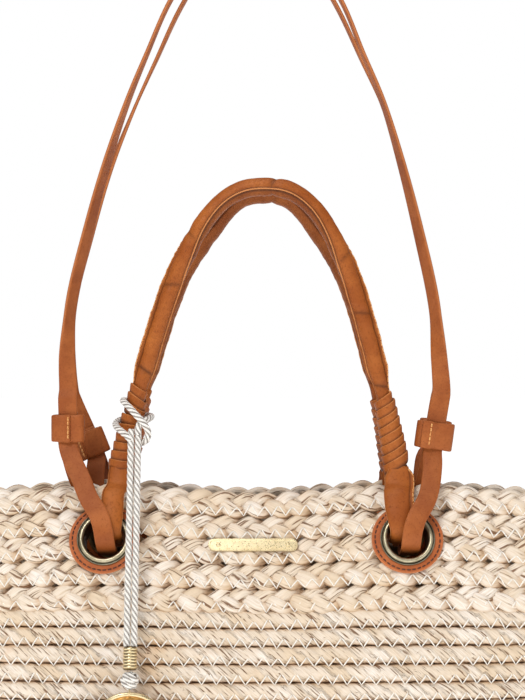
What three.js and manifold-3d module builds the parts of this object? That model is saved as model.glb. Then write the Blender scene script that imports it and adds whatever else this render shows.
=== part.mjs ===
// A straw beach bag: a coiled body with a plaited band at the mouth, four brass eyelets on leather
// patches, two padded top handles, two long shoulder straps held by sliding keepers, and a coin charm
// on a twisted cord. Millimetres, +Z up, the front towards -Y, the origin under the middle of the base.
import * as THREE from "three";
import { mergeVertices } from "three/addons/utils/BufferGeometryUtils.js";
import Module from "manifold-3d";

const wasm = await Module();
wasm.setup();

const GAP = 0.3; // clearance between pieces that touch

// ---- driving dimensions ----
const RIM = 320; // height of the mouth
const RIM_HALF_LENGTH = 240;
const BASE_HALF_LENGTH = 196;
const RIM_HALF_DEPTH = 26;
const BELLY = 58; // how much deeper each side is at the base than at the mouth
const BELLY_POWER = 2.6;
const WALL = 9;
const BASE_THICKNESS = 12;
const BRAID_COURSE = 16.2; // height of one plaited course
const BRAID_COURSES = 5;
const WALL_SPLIT = 107; // height where the coiled wall's two halves meet
const RIM_WAVE = 3.2; // the mouth is drawn up at the eyelets and sags between them

const EYELET_X = 104.5;
const EYELET_Z = RIM - 38;
const EYELET_BORE = 14;
const BARREL = 15; // outer radius of the eyelet's barrel
const FLANGE = 19;
const PATCH = 24.5;
const PATCH_THICKNESS = 2;

const HANDLE_FOOT = 98; // half the distance between the two wraps' lower ends
const HANDLE_LEAN = 2; // how far the handles stand off to the right
const HANDLE_TOP = 211; // middle of the handle's top, above the mouth
const HANDLE_WIDTH = 16.4;
const HANDLE_THICKNESS = 12.6;
const LEATHER = 1.6;
const WRAP_LOW = 8; // the wraps' lower and upper ends, above the mouth
const WRAP_HIGH = 70;

const STRAP_WIDTH = 12;
const STRAP_THICKNESS = 2.4;
const KEEPER = { width: 25, depth: 10.4, height: 19, wall: 1.7 };

const BAR_X = -2;
const CORD = 4.6;
const HITCH = { x: -84, y: -37, z: RIM + 43 };
const CHARM = { radius: 27.5, y: -89, z: RIM - 158, thickness: 3 };

// ---- geometry helpers ----
const v3 = (x, y, z) => new THREE.Vector3(x, y, z);
const smooth = (t) => t * t * (3 - 2 * t);
const clamp = THREE.MathUtils.clamp;
const mirrored = (s, points) => points.map((p) => v3(p.x, p.y * s, p.z));

// A closed body from triangles, with its faces turned outwards.
function body(triangles) {
  let volume = 0;
  const cross = new THREE.Vector3();
  for (const [a, b, c] of triangles) volume += a.dot(cross.crossVectors(b, c));
  const facing = volume < 0 ? triangles.map(([a, b, c]) => [a, c, b]) : triangles;
  return new THREE.BufferGeometry().setFromPoints(facing.flat());
}

// The faces between neighbouring rings of points.
function skin(rings, closed = false) {
  const faces = [];
  const last = closed ? rings.length : rings.length - 1;
  for (let i = 0; i < last; i++) {
    const low = rings[i];
    const high = rings[(i + 1) % rings.length];
    for (let j = 0; j < low.length; j++) {
      const k = (j + 1) % low.length;
      faces.push([low[j], low[k], high[k]], [low[j], high[k], high[j]]);
    }
  }
  return faces;
}

const turned = (faces) => faces.map(([a, b, c]) => [a, c, b]);
const fan = (ring) => ring.slice(2).map((_, i) => [ring[0], ring[i + 2], ring[i + 1]]);

function loft(rings) {
  return body([...skin(rings), ...fan(rings[0]), ...turned(fan(rings.at(-1)))]);
}

const hoop = (rings) => body(skin(rings, true));

// A tube with an open bore: matching rings outside and inside.
function sleeve(outer, inner) {
  const start = skin([inner[0], outer[0]]);
  const end = skin([outer.at(-1), inner.at(-1)]);
  return body([...skin(outer), ...turned(skin(inner)), ...start, ...end]);
}

// Rings of a section, given as [across, through] pairs, along a path whose width faces each direction.
function sweep(path, widthAt, section) {
  return path.map((p, i) => {
    const before = path[Math.max(i - 1, 0)];
    const after = path[Math.min(i + 1, path.length - 1)];
    const along = after.clone().sub(before).normalize();
    const wide = widthAt(along, p, i).clone();
    wide.addScaledVector(along, -wide.dot(along)).normalize();
    const thick = along.clone().cross(wide);
    return section(i).map(([u, v]) => p.clone().addScaledVector(wide, u).addScaledVector(thick, v));
  });
}

const strip = (width, thickness) => [
  [-width / 2, -thickness / 2],
  [width / 2, -thickness / 2],
  [width / 2, thickness / 2],
  [-width / 2, thickness / 2],
];

function oval(width, thickness, sides) {
  return Array.from({ length: sides }, (_, i) => {
    const a = ((i + 0.5) / sides) * 2 * Math.PI;
    return [(Math.cos(a) * width) / 2, (Math.sin(a) * thickness) / 2];
  });
}

const curved = (points, steps) =>
  new THREE.CatmullRomCurve3(points, false, "centripetal").getSpacedPoints(steps);

function plate(shape, depth, curveSegments = 8) {
  return new THREE.ExtrudeGeometry(shape, { depth, bevelEnabled: false, curveSegments });
}

function disc(radius, bore) {
  const shape = new THREE.Shape().absarc(0, 0, radius, 0, 2 * Math.PI);
  if (bore) shape.holes.push(new THREE.Path().absarc(0, 0, bore, 0, 2 * Math.PI, true));
  return shape;
}

function roundedBox(width, height, corner) {
  const x = width / 2;
  const y = height / 2;
  return new THREE.Shape()
    .moveTo(-x + corner, -y)
    .lineTo(x - corner, -y)
    .absarc(x - corner, -y + corner, corner, -Math.PI / 2, 0)
    .lineTo(x, y - corner)
    .absarc(x - corner, y - corner, corner, 0, Math.PI / 2)
    .lineTo(-x + corner, y)
    .absarc(-x + corner, y - corner, corner, Math.PI / 2, Math.PI)
    .lineTo(-x, -y + corner)
    .absarc(-x + corner, -y + corner, corner, Math.PI, 1.5 * Math.PI);
}

// A turned body around +Z, from [radius, height] pairs.
function lathe(profile, segments) {
  const points = [...profile, profile[0]].map(([r, z]) => new THREE.Vector2(r, z));
  const g = new THREE.LatheGeometry(points, segments).rotateX(Math.PI / 2).toNonIndexed();
  const at = g.getAttribute("position");
  const corners = Array.from({ length: at.count }, (_, i) => v3(at.getX(i), at.getY(i), at.getZ(i)));
  const faces = corners.flatMap((_, i) => (i % 3 ? [] : [corners.slice(i, i + 3)]));
  return body(faces.filter(([a, b, c]) => b.clone().sub(a).cross(c.clone().sub(a)).length() > 1e-6));
}

// ---- manifold helpers ----
function solidOf(geometry) {
  const loose = geometry.index ? geometry.toNonIndexed() : geometry;
  const bare = new THREE.BufferGeometry().setAttribute("position", loose.getAttribute("position"));
  const merged = mergeVertices(bare, 1e-3);
  return new wasm.Manifold(
    new wasm.Mesh({
      numProp: 3,
      vertProperties: merged.attributes.position.array,
      triVerts: new Uint32Array(merged.index.array),
    }),
  );
}

function geometryOf(solid) {
  const mesh = solid.getMesh();
  return new THREE.BufferGeometry()
    .setAttribute("position", new THREE.BufferAttribute(mesh.vertProperties, mesh.numProp))
    .setIndex(new THREE.BufferAttribute(mesh.triVerts, 1));
}

const cut = (geometry, tools) =>
  geometryOf(tools.reduce((left, tool) => left.subtract(solidOf(tool)), solidOf(geometry)));

// ---- the bag's outline ----
const foot = (z) => 1 - 0.1 * Math.exp(-z / 22);
const halfDepth = (z) =>
  (RIM_HALF_DEPTH + BELLY * (1 - Math.pow(clamp(z / RIM, 0, 1.2), BELLY_POWER))) * foot(z);
const halfLength = (z) =>
  (BASE_HALF_LENGTH +
    (RIM_HALF_LENGTH - BASE_HALF_LENGTH) * Math.sin(((Math.PI / 2) * Math.min(z, RIM)) / RIM)) *
  foot(z);
const crown = (z) => 6 + 18 * (1 - clamp(z / RIM, 0, 1));
const wave = (x, z) =>
  -RIM_WAVE * Math.cos((Math.PI * x) / EYELET_X) * clamp((z - RIM + 120) / 120, 0, 1);

// A point of the level outline: an ellipse as flat as the crown, grown by the corner radius.
function outline(angle, z, inset) {
  const corner = halfDepth(z) - crown(z);
  const a = halfLength(z) - corner;
  const b = crown(z);
  const n = new THREE.Vector2(Math.cos(angle) / a, Math.sin(angle) / b).normalize();
  return v3(a * Math.cos(angle) + (corner - inset) * n.x, b * Math.sin(angle) + (corner - inset) * n.y, z);
}

// Where the outward direction is turned by `turn` from +X.
function angleAt(turn, z) {
  const a = halfLength(z) - halfDepth(z) + crown(z);
  return Math.atan2(crown(z) * Math.sin(turn), a * Math.cos(turn));
}

const END_TURN = (75 * Math.PI) / 180;
const END_STEPS = 6;
const PANEL_STEPS = 12;

// The angles of a level ring: small steps round each end, longer ones along each side.
function stations(z) {
  const edge = angleAt(END_TURN, z);
  const right = Array.from({ length: END_STEPS }, (_, i) => angleAt(END_TURN * ((2 * i) / END_STEPS - 1), z));
  const side = Array.from(
    { length: PANEL_STEPS },
    (_, i) => edge + ((Math.PI - 2 * edge) * i) / PANEL_STEPS,
  );
  const half = [...right, ...side];
  return [...half, ...half.map((a) => a + Math.PI)];
}

// The outer face of the front or back panel at (x, z), as a distance from the middle plane.
function panelY(x, z) {
  let low = 0;
  let high = Math.PI;
  for (let i = 0; i < 30; i++) {
    const middle = (low + high) / 2;
    if (outline(middle, z, 0).x > x) low = middle;
    else high = middle;
  }
  return outline(low, z, 0).y;
}

// A wall between two heights, with its outer face on the outline.
function wall(low, high, levels) {
  const heights = Array.from({ length: levels + 1 }, (_, i) => low + ((high - low) * i) / levels);
  const rings = heights.map((z) => stations(z));
  const point = (i, level, inset) => {
    const p = outline(rings[level][i], heights[level], inset);
    p.z += wave(p.x, p.z);
    return p;
  };
  return hoop(
    rings[0].map((_, i) => [
      ...heights.map((_, level) => point(i, level, 0)),
      ...heights.map((_, level) => point(i, levels - level, WALL)),
    ]),
  );
}

function levelShape(z, inset) {
  return new THREE.Shape(stations(z).map((a) => new THREE.Vector2().copy(outline(a, z, inset))));
}

// ---- materials ----
const finish = (color, roughness, metalness) =>
  new THREE.MeshStandardMaterial({ color, roughness, metalness });
const STRAW = finish(0xdcc7a0, 0.75, 0);
const TAN = finish(0xa8622c, 0.5, 0);
const BRASS = finish(0x8f8259, 0.4, 1);
const GOLD = finish(0xd9bf7c, 0.25, 1);
const IVORY = finish(0xe9e2d6, 0.6, 0);
const JUTE = finish(0xb9a27a, 0.9, 0);

const bag = new THREE.Group();
function add(name, geometry, material, parent = bag) {
  const mesh = new THREE.Mesh(geometry, material);
  mesh.name = name;
  parent.add(mesh);
  return mesh;
}

// ---- eyelets ----
// A group at each eyelet whose +Z points out of the panel and whose origin is halfway through the wall.
function eyeletFrame(side, face) {
  const x = side * EYELET_X;
  const z = EYELET_Z + wave(x, EYELET_Z);
  const step = 1;
  const slopeX = (panelY(x + step, EYELET_Z) - panelY(x - step, EYELET_Z)) / (2 * step);
  const slopeZ = (panelY(x, EYELET_Z + step) - panelY(x, EYELET_Z - step)) / (2 * step);
  const frame = new THREE.Group();
  frame.position.set(x, face * (panelY(x, EYELET_Z) - WALL / 2 / Math.cos(Math.atan(slopeZ))), z);
  frame.quaternion.setFromUnitVectors(v3(0, 0, 1), v3(-slopeX, face, -slopeZ).normalize());
  frame.updateMatrixWorld(true);
  return frame;
}

const CORNERS = [
  { name: "front_left", side: -1, face: -1 },
  { name: "front_right", side: 1, face: -1 },
  { name: "back_left", side: -1, face: 1 },
  { name: "back_right", side: 1, face: 1 },
];

function eyelet({ name, side, face }) {
  const frame = eyeletFrame(side, face);
  const patchFace = WALL / 2 + 1;
  const flangeSeat = patchFace + PATCH_THICKNESS + GAP;
  const patch = disc(PATCH, BARREL + GAP);
  add(`${name}_outer_patch`, plate(patch, PATCH_THICKNESS).translate(0, 0, patchFace), TAN, frame);
  add(`${name}_inner_patch`, plate(patch, PATCH_THICKNESS).translate(0, 0, GAP - flangeSeat), TAN, frame);
  const washer = plate(disc(FLANGE - 0.5, BARREL + GAP), 1).translate(0, 0, -flangeSeat - 1);
  add(`${name}_washer`, washer, BRASS, frame);
  const curl = -flangeSeat - 1 - GAP;
  const profile = [
    [EYELET_BORE, curl - 1],
    [BARREL + 1.6, curl - 1],
    [BARREL + 1.6, curl],
    [BARREL, curl],
    [BARREL, flangeSeat],
    [FLANGE, flangeSeat],
    [FLANGE - 0.4, flangeSeat + 1.4],
    [FLANGE - 2.4, flangeSeat + 2.8],
    [EYELET_BORE + 1, flangeSeat + 2],
  ];
  add(`${name}_eyelet`, lathe(profile, 20), BRASS, frame);
  bag.add(frame);
  const drill = [[0, -30], [BARREL + 0.5, -30], [BARREL + 0.5, 30], [0, 30]];
  return lathe(drill, 20).applyMatrix4(frame.matrixWorld);
}

// ---- the straw body ----
function strawBody(drills) {
  const bandLow = RIM - BRAID_COURSE * BRAID_COURSES;
  add("base_mat", plate(levelShape(BASE_THICKNESS / 2, 0), BASE_THICKNESS), STRAW);
  add("lower_coiled_wall", wall(BASE_THICKNESS + GAP, WALL_SPLIT - GAP, 3), STRAW);
  add("upper_coiled_wall", wall(WALL_SPLIT, bandLow - GAP, 3), STRAW);
  add("lower_braid_course", wall(bandLow, bandLow + BRAID_COURSE - GAP, 1), STRAW);
  const band = wall(bandLow + BRAID_COURSE, RIM - BRAID_COURSE - GAP, 2);
  add("eyelet_braid_band", cut(band, drills), STRAW);
  add("rim_braid_course", wall(RIM - BRAID_COURSE, RIM, 1), STRAW);
}

// ---- padded handles ----
// A point of the handle's arch: share 0 and 1 are the two feet.
function archPoint(share) {
  const side = share < 0.5 ? -1 : 1;
  const fall = Math.pow(Math.abs(2 * share - 1), 2.5);
  const height = HANDLE_TOP - (HANDLE_TOP - WRAP_LOW) * fall;
  const lean = HANDLE_LEAN + 4.2 * (1 - fall);
  return v3(lean + side * HANDLE_FOOT * Math.pow(fall, 0.4), -24 - 6 * (1 - fall), RIM + height);
}

// The handle's broad side faces forwards at its feet and upwards at its top.
function archWidth(along, p) {
  const level = v3(0, 1, 0).cross(along);
  const twist = smooth(clamp((p.z - RIM - 110) / 90, 0, 1)) * 1.25;
  return level.multiplyScalar(Math.cos(twist)).add(v3(0, Math.sin(twist), 0));
}

const ARCH_STEPS = 26;
const HANDLE_SIDES = 8;

function handle(face) {
  const name = face < 0 ? "front" : "back";
  const path = Array.from({ length: ARCH_STEPS + 1 }, (_, i) => archPoint(i / ARCH_STEPS));
  const pinch = path.map((p) => 1 - smooth(clamp((p.z - RIM - WRAP_HIGH + 4) / 26, 0, 1)));
  const taper = path.map((p) => 1 - clamp((p.z - RIM - WRAP_LOW) / (WRAP_HIGH - WRAP_LOW), 0, 1));
  const size = (extra) => (i) => {
    const width = HANDLE_WIDTH - 3.4 * pinch[i] - 0.8 * taper[i];
    const thickness = HANDLE_THICKNESS - 3.8 * pinch[i] - 1.6 * taper[i];
    return oval(width - extra, thickness - extra, HANDLE_SIDES);
  };
  const ring = (extra) => sweep(path, archWidth, size(extra)).map((r) => mirrored(-face, r));
  add(`${name}_handle_cover`, sleeve(ring(0), ring(2 * LEATHER)), TAN);
  const core = ring(2 * LEATHER + 2 * GAP).slice(1, -1);
  add(`${name}_handle_core`, loft(core), JUTE);
  return path;
}

// The thong wound round a handle's foot and its returned end: a tapering sleeve.
function wrap(name, side, face, path) {
  const foot = side < 0 ? path : [...path].reverse();
  const steps = 3;
  const run = Array.from({ length: steps + 1 }, (_, i) => {
    const z = RIM + WRAP_LOW + ((WRAP_HIGH - WRAP_LOW) * i) / steps;
    const k = foot.findIndex((p) => p.z >= z) || 1;
    return foot[k - 1].clone().lerp(foot[k], (z - foot[k - 1].z) / (foot[k].z - foot[k - 1].z));
  });
  const centre = run.map((p, i) => p.clone().setY(p.y + 4.2 - (2.2 * i) / steps));
  const low = (i) => 1 - i / steps;
  const outer = (i) => oval(17.8 + 3.2 * low(i), 19 + 4.5 * low(i), 12);
  const bore = (i) => oval(15.4 + 3.2 * low(i), 16.6 + 4.5 * low(i), 12);
  const rings = (section) =>
    sweep(centre, (along) => v3(0, 1, 0).cross(along), section).map((r) => mirrored(-face, r));
  add(`${name}_wrap`, sleeve(rings(outer), rings(bore)), TAN);
}

// A route through a front eyelet: each point is across, up and out from the eyelet's middle.
const throughEyelet = (side, route) => {
  const frame = eyeletFrame(side, -1);
  return route.map((p) => frame.localToWorld(v3(...p)));
};
const aboveMouth = (points) => points.map(([x, y, z]) => v3(x, y, RIM + z));

// A handle's end: down the outside, in through the eyelet and up the inside, under the wrap.
const HANDLE_END = [
  [5, 30, 14],
  [4, 21, 14.2],
  [3, 13, 14.2],
  [2, 5, 12.5],
  [2, 2, 8],
  [2, 1.5, 0],
  [2, 2, -8],
  [2, 5, -12.5],
  [3, 13, -14.4],
  [4, 21, -14.4],
];

function handleLoop({ name, side, face }) {
  const route = [
    ...aboveMouth([[HANDLE_LEAN + side * 98, -31.5, 3]]),
    ...throughEyelet(side, HANDLE_END.map(([x, u, w]) => [-side * x, u, w])),
    ...aboveMouth([[HANDLE_LEAN + side * 99, -13, 3]]),
  ];
  const path = curved(route, 24);
  const rings = sweep(path, () => v3(1, 0, 0), () => oval(17, 5, 8));
  add(`${name}_handle_end`, loft(rings.map((r) => mirrored(-face, r))), TAN);
}

// ---- shoulder straps ----
const STRAP_HALF = [
  [130, 68],
  [130, 92],
  [126.5, 130],
  [117, 180],
  [104.5, 227],
  [89, 272],
  [75, 306],
  [59, 345],
  [35, 382],
  [0, 400],
];
const STRAP_TOP = 400;

function strap(face) {
  const shift = (z) => (face < 0 ? 0 : 7 * smooth(clamp((z - 150) / 170, 0, 1)));
  const point = ([x, z]) => v3(x, -22 + (14 * (z - 68)) / (STRAP_TOP - 68), RIM + z);
  const right = STRAP_HALF.slice(0, -1).map(point);
  const left = STRAP_HALF.map(([x, z]) => point([(z < STRAP_TOP ? 1 : 0.5) * shift(z) - x, z]));
  const path = curved([...left, ...right.reverse()], 40);
  const width = (along, p) => {
    const early = smooth(clamp((p.z - RIM - 64) / 60, 0, 1));
    const late = smooth(clamp((p.z - RIM - 130) / 210, 0, 1));
    const twist = (0.65 * early + 0.35 * late) * (Math.PI / 2);
    return v3(0, 1, 0).cross(along).multiplyScalar(Math.cos(twist)).add(v3(0, Math.sin(twist), 0));
  };
  const rings = sweep(path, width, () => strip(STRAP_WIDTH, STRAP_THICKNESS));
  add(face < 0 ? "front_strap" : "back_strap", loft(rings.map((r) => mirrored(-face, r))), TAN);
}

// Each strap end's keeper, as its middle and its lean from upright, and its route: from the strap, down
// the outside, through the eyelet and up the inside. The route by the eyelet is across, up and out from
// the eyelet's middle, and the rest is x, y and height above the mouth.
const STRAP_ENDS = {
  front_left: {
    keeper: { x: -132, z: 42, lean: 0 },
    top: [[-131.3, -23.6, 64]],
    down: [[-129, -28, 22], [-121.5, -37, 8]],
    outside: [[-10, 26, 18.8], [-3, 14, 19.2], [0, 4, 18.4], [1, -3.5, 15], [1.5, -7, 8]],
    inside: [[1.5, -7.5, 0], [1, -7, -8], [0, -3, -15.5], [-1, 5, -18.8], [-3, 15, -19.3]],
    up: [[-113, -11, -22], [-118, -11.5, -10], [-126, -13, 6], [-131, -18, 25]],
  },
  front_right: {
    keeper: { x: 124, z: 37, lean: -3 },
    top: [[128.8, -23.6, 64]],
    down: [[123.4, -29, 18], [121.2, -37, 4]],
    outside: [[12, 24, 18.8], [6, 13, 19.2], [3, 4, 18.4], [2, -3.5, 15], [2, -7, 8]],
    inside: [[2, -7.5, 0], [2, -7, -8], [2, -3, -15.5], [3, 5, -18.8], [5, 15, -19.3]],
    up: [[114, -11, -22], [116, -11.5, -10], [119.5, -13, 4], [122.6, -18, 20]],
  },
  back_left: {
    keeper: { x: -120, z: 29, lean: 22 },
    top: [[-131, -23.6, 64], [-128.5, -23.6, 52]],
    down: [[-114, -29.4, 12], [-111.2, -39, 2]],
    outside: [[-2, 26, 20], [0, 14, 19.6], [1, 4, 18.4], [1.5, -3.5, 15], [1.5, -7, 8]],
    inside: [[1.5, -7.5, 0], [1, -7, -8], [0, -3, -15.5], [-1, 5, -18.8], [-3, 15, -19.3]],
    up: [[-113, -11, -22], [-116, -11.5, -10], [-116.5, -13, 1], [-116.2, -17, 12]],
  },
};
STRAP_ENDS.back_right = STRAP_ENDS.front_right;

function strapEnd({ name, side, face }) {
  const { keeper, top, down, outside, inside, up } = STRAP_ENDS[name];
  const lean = (keeper.lean * Math.PI) / 180;
  const along = v3(-Math.sin(lean), 0, Math.cos(lean));
  const layer = 1.7; // each layer's middle, either side of the keeper's middle
  const middle = v3(keeper.x, -22, RIM + keeper.z);
  const reach = KEEPER.height / 2 + 1;
  const inKeeper = (offset, height) => middle.clone().addScaledVector(along, height).setY(-22 + offset);
  const route = [
    ...aboveMouth(top),
    inKeeper(-layer, reach),
    inKeeper(-layer, -reach),
    ...aboveMouth(down),
    ...throughEyelet(side, [...outside, ...inside]),
    ...aboveMouth(up),
    inKeeper(layer, -reach),
    inKeeper(layer, reach + 1),
  ];
  const path = curved(route, 40);
  const width = () => v3(1, 0, 0);
  const rings = sweep(path, width, () => strip(STRAP_WIDTH, STRAP_THICKNESS));
  add(`${name}_strap_end`, loft(rings.map((r) => mirrored(-face, r))), TAN);
  const band = roundedBox(KEEPER.width, KEEPER.depth, 3.5);
  const bore = roundedBox(KEEPER.width - 2 * KEEPER.wall, KEEPER.depth - 2 * KEEPER.wall, 2);
  band.holes.push(new THREE.Path(bore.getPoints(3).reverse()));
  const ring = plate(band, KEEPER.height, 3).translate(0, 0, -KEEPER.height / 2);
  const mesh = add(`${name}_keeper`, ring, TAN);
  mesh.position.copy(mirrored(-face, [middle])[0]);
  mesh.rotation.y = -lean;
}

// ---- name bar ----
function nameBar() {
  const z = RIM - 36;
  const slope = Math.atan((panelY(BAR_X, z - 1) - panelY(BAR_X, z + 1)) / 2);
  const frame = new THREE.Group();
  frame.position.set(BAR_X, -panelY(BAR_X, z), z + wave(BAR_X, z));
  frame.rotation.x = Math.PI / 2 - slope;
  add("brass_bar", plate(roundedBox(62, 9, 4.4), 1.6, 6).translate(0, 0, 1.2), GOLD, frame);
  for (const [name, x] of [["left", -24], ["right", 24]]) {
    add(`${name}_bar_pin`, plate(disc(1.6), 0.9).translate(x, 0, 3.1), GOLD, frame);
  }
  bag.add(frame);
}

// ---- charm ----
// The twisted cord's hitch round the front left wrap, its two hanging strands and what they carry.
function charm() {
  const hitch = [0, 1].map((end) => (Math.PI * (0.12 + 1.76 * end)));
  const loop = Array.from({ length: 17 }, (_, i) => {
    const a = -Math.PI / 2 + hitch[0] + ((hitch[1] - hitch[0]) * i) / 16;
    return v3(-86.4 + 13.6 * Math.cos(a), -20.6 + 14.6 * Math.sin(a), HITCH.z + 9 - 6 * Math.cos(a));
  });
  const rings = sweep(loop, () => v3(0, 0, 1), () => oval(CORD, CORD, 8));
  add("cord_hitch", loft(rings), IVORY);
  const low = v3(HITCH.x, -81, RIM - 102);
  for (const [name, side] of [["left", -1], ["right", 1]]) {
    const x = (side * (CORD + GAP)) / 2;
    const line = [v3(HITCH.x + x, HITCH.y - 1.5, HITCH.z - 1), v3(low.x + x, low.y, low.z)];
    const path = new THREE.LineCurve3(...line).getPoints(12);
    add(`${name}_cord_strand`, loft(sweep(path, () => v3(1, 0, 0), () => oval(CORD, CORD, 8))), IVORY);
  }
  const down = v3(0, -42, -145).normalize();
  const hang = new THREE.Group();
  hang.position.copy(low).addScaledVector(down, GAP);
  hang.quaternion.setFromUnitVectors(v3(0, 0, -1), down);
  const ferrule = [[0, 0], [4.8, 0], [4.8, -15], [0, -15]];
  add("cord_ferrule", lathe(ferrule, 16), GOLD, hang);
  const ball = new THREE.SphereGeometry(6, 12, 8).translate(0, 0, -21.6);
  add("cord_knot", ball, IVORY, hang);
  bag.add(hang);
  const rim = plate(disc(CHARM.radius, CHARM.radius - 2.4), CHARM.thickness, 16);
  const coin = plate(disc(CHARM.radius - 2.4 - GAP), CHARM.thickness - 1.4, 16).translate(0, 0, 0.7);
  for (const [name, shape] of [["charm_rim", rim], ["charm_coin", coin]]) {
    const mesh = add(name, shape.translate(0, 0, -CHARM.thickness / 2), GOLD);
    mesh.rotation.x = Math.PI / 2;
    mesh.position.set(HITCH.x, CHARM.y, CHARM.z);
  }
}

strawBody(CORNERS.map(eyelet));
for (const face of [-1, 1]) {
  const path = handle(face);
  for (const corner of CORNERS.filter((c) => c.face === face)) {
    wrap(corner.name, corner.side, face, path);
    handleLoop(corner);
    strapEnd(corner);
  }
  strap(face);
}
nameBar();
charm();

export default bag;
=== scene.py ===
"""A straw beach bag: coiled and plaited straw, tan leather handles and straps, brass eyelets, a coin charm.

Everything is in metres, +Z up, with the front towards -Y and the middle of the base at the origin.
"""

import math

import bmesh
import bpy
import numpy as np
from mathutils import Matrix, Vector


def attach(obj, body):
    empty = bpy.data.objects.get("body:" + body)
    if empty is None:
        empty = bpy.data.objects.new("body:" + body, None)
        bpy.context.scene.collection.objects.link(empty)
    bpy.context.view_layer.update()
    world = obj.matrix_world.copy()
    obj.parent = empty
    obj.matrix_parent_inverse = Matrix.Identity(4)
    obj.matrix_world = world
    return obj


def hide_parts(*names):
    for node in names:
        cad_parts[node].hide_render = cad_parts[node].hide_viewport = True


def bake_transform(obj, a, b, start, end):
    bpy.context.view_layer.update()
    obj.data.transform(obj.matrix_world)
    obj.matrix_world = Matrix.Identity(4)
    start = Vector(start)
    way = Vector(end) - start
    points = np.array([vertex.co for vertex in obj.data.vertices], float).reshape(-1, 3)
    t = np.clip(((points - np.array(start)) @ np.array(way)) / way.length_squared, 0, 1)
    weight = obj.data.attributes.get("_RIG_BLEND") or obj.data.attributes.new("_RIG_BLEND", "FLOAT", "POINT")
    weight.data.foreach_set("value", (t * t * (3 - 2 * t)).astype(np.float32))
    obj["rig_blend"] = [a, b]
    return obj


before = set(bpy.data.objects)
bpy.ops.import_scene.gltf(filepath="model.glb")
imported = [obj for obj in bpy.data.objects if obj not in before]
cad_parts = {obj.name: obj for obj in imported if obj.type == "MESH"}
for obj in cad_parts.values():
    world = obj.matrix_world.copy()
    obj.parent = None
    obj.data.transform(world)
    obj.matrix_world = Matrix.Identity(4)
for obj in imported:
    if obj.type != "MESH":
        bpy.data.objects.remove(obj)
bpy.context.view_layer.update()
MM = 0.001
TAU = 2 * math.pi

# ---- the bag's size, as the solids have it ----
RIM = 320 * MM
RIM_HALF_LENGTH = 240 * MM
BASE_HALF_LENGTH = 196 * MM
RIM_HALF_DEPTH = 26 * MM
BELLY = 58 * MM
BELLY_POWER = 2.6
WALL = 9 * MM
BASE_THICKNESS = 12 * MM
BRAID_COURSE = 16.2 * MM
BRAID_COURSES = 5
COIL_COURSES = 19
RIM_WAVE = 3.2 * MM
EYELET_X = 104.5 * MM
EYELET_Z = RIM - 38 * MM
PLAIT_REPEAT = 47 * MM  # one strand's way over and back
PLAIT_LEAN = 0.16
BINDING = 11.5 * MM  # one turn of husk round the rope
ZIGZAG = 9.8 * MM  # one stitch between courses
HUSK_SIDES = 16
ROPE_SIDES = 14
ACROSS = np.array([1.0, 0.0, 0.0])
BACKWARDS = np.array([0.0, 1.0, 0.0])
INNER_SIDE = -math.pi / 2  # where a ring starts, so that the joint in its pattern faces into the bag


# ---- outline ----
def half_depth(z):
    belly = 1 - np.clip(z / RIM, 0, 1.2) ** BELLY_POWER
    return (RIM_HALF_DEPTH + BELLY * belly) * foot(z)


def half_length(z):
    spread = np.sin(math.pi / 2 * np.minimum(z, RIM) / RIM)
    return (BASE_HALF_LENGTH + (RIM_HALF_LENGTH - BASE_HALF_LENGTH) * spread) * foot(z)


def foot(z):
    return 1 - 0.1 * np.exp(-z / (22 * MM))


def crown(z):
    return (6 + 18 * (1 - np.clip(z / RIM, 0, 1))) * MM


def wave(x, z):
    drawn = np.clip((z - RIM + 120 * MM) / (120 * MM), 0, 1)
    return -RIM_WAVE * np.cos(math.pi * x / EYELET_X) * drawn


def outline(angle, z, inset):
    """Points of the level outline at a height: a flat ellipse grown by the corner's radius."""
    corner = half_depth(z) - crown(z)
    a = half_length(z) - corner
    b = crown(z)
    nx, ny = np.cos(angle) / a, np.sin(angle) / b
    size = np.hypot(nx, ny)
    x = a * np.cos(angle) + (corner - inset) * nx / size
    y = b * np.sin(angle) + (corner - inset) * ny / size
    return np.stack([x, y, z + wave(x, z) + 0 * x], -1)


def panel_y(x, z):
    """The outer face's distance from the middle plane at one point of a panel."""
    angle = np.linspace(0, math.pi, 4001)
    points = outline(angle, z, 0)
    return float(np.interp(-x, -points[:, 0], points[:, 1]))


def unit(vectors):
    return vectors / np.maximum(np.linalg.norm(vectors, axis=-1, keepdims=True), 1e-12)

def run_of(line):
    """The distance along a line at each of its points."""
    return np.r_[0, np.cumsum(np.linalg.norm(np.diff(line, axis=0), axis=1))]


class Course:
    """One closed level line round the bag, evenly stepped, with its along, up and out directions."""

    def __init__(self, z, inset, step, start=0.0):
        angle = np.linspace(0, TAU, 4001) + start
        fine = outline(angle, z, inset)
        run = run_of(fine)
        self.length = run[-1]
        self.count = int(round(self.length / step))
        self.run = np.arange(self.count) * self.length / self.count
        at = np.interp(self.run, run, angle)
        self.at = outline(at, z, inset)
        near = outline(at + 1e-4, z, inset) - outline(at - 1e-4, z, inset)
        rise = outline(at, z + 0.5 * MM, inset) - outline(at, z - 0.5 * MM, inset)
        self.along = unit(near)
        self.up = unit(rise - self.along * (rise * self.along).sum(-1, keepdims=True))
        self.out = np.cross(self.along, self.up)
        self.slope = self.up[:, 2]


# ---- mesh tools ----
# Vertex layers for the materials: along and across lay out fibres and grain; tone is random tone on the straw
# and painted shade on the leather.
# depth steers painted shade in the straw's crevices, the eyelets' bores and the cord's grooves, marks raw
# leather edges, and darkens the ferrule's grooves.
LAYERS = ("along", "across", "tone", "depth")


def blank():
    """An empty bmesh that carries the pattern layers."""
    bm = bmesh.new()
    for layer in LAYERS:
        bm.verts.layers.float.new(layer)
    return bm


def ring_angles(around, turn=0.0):
    """The angles round a ring, with its first point again at the end."""
    return turn + TAU * np.arange(around + 1) / around


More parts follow.
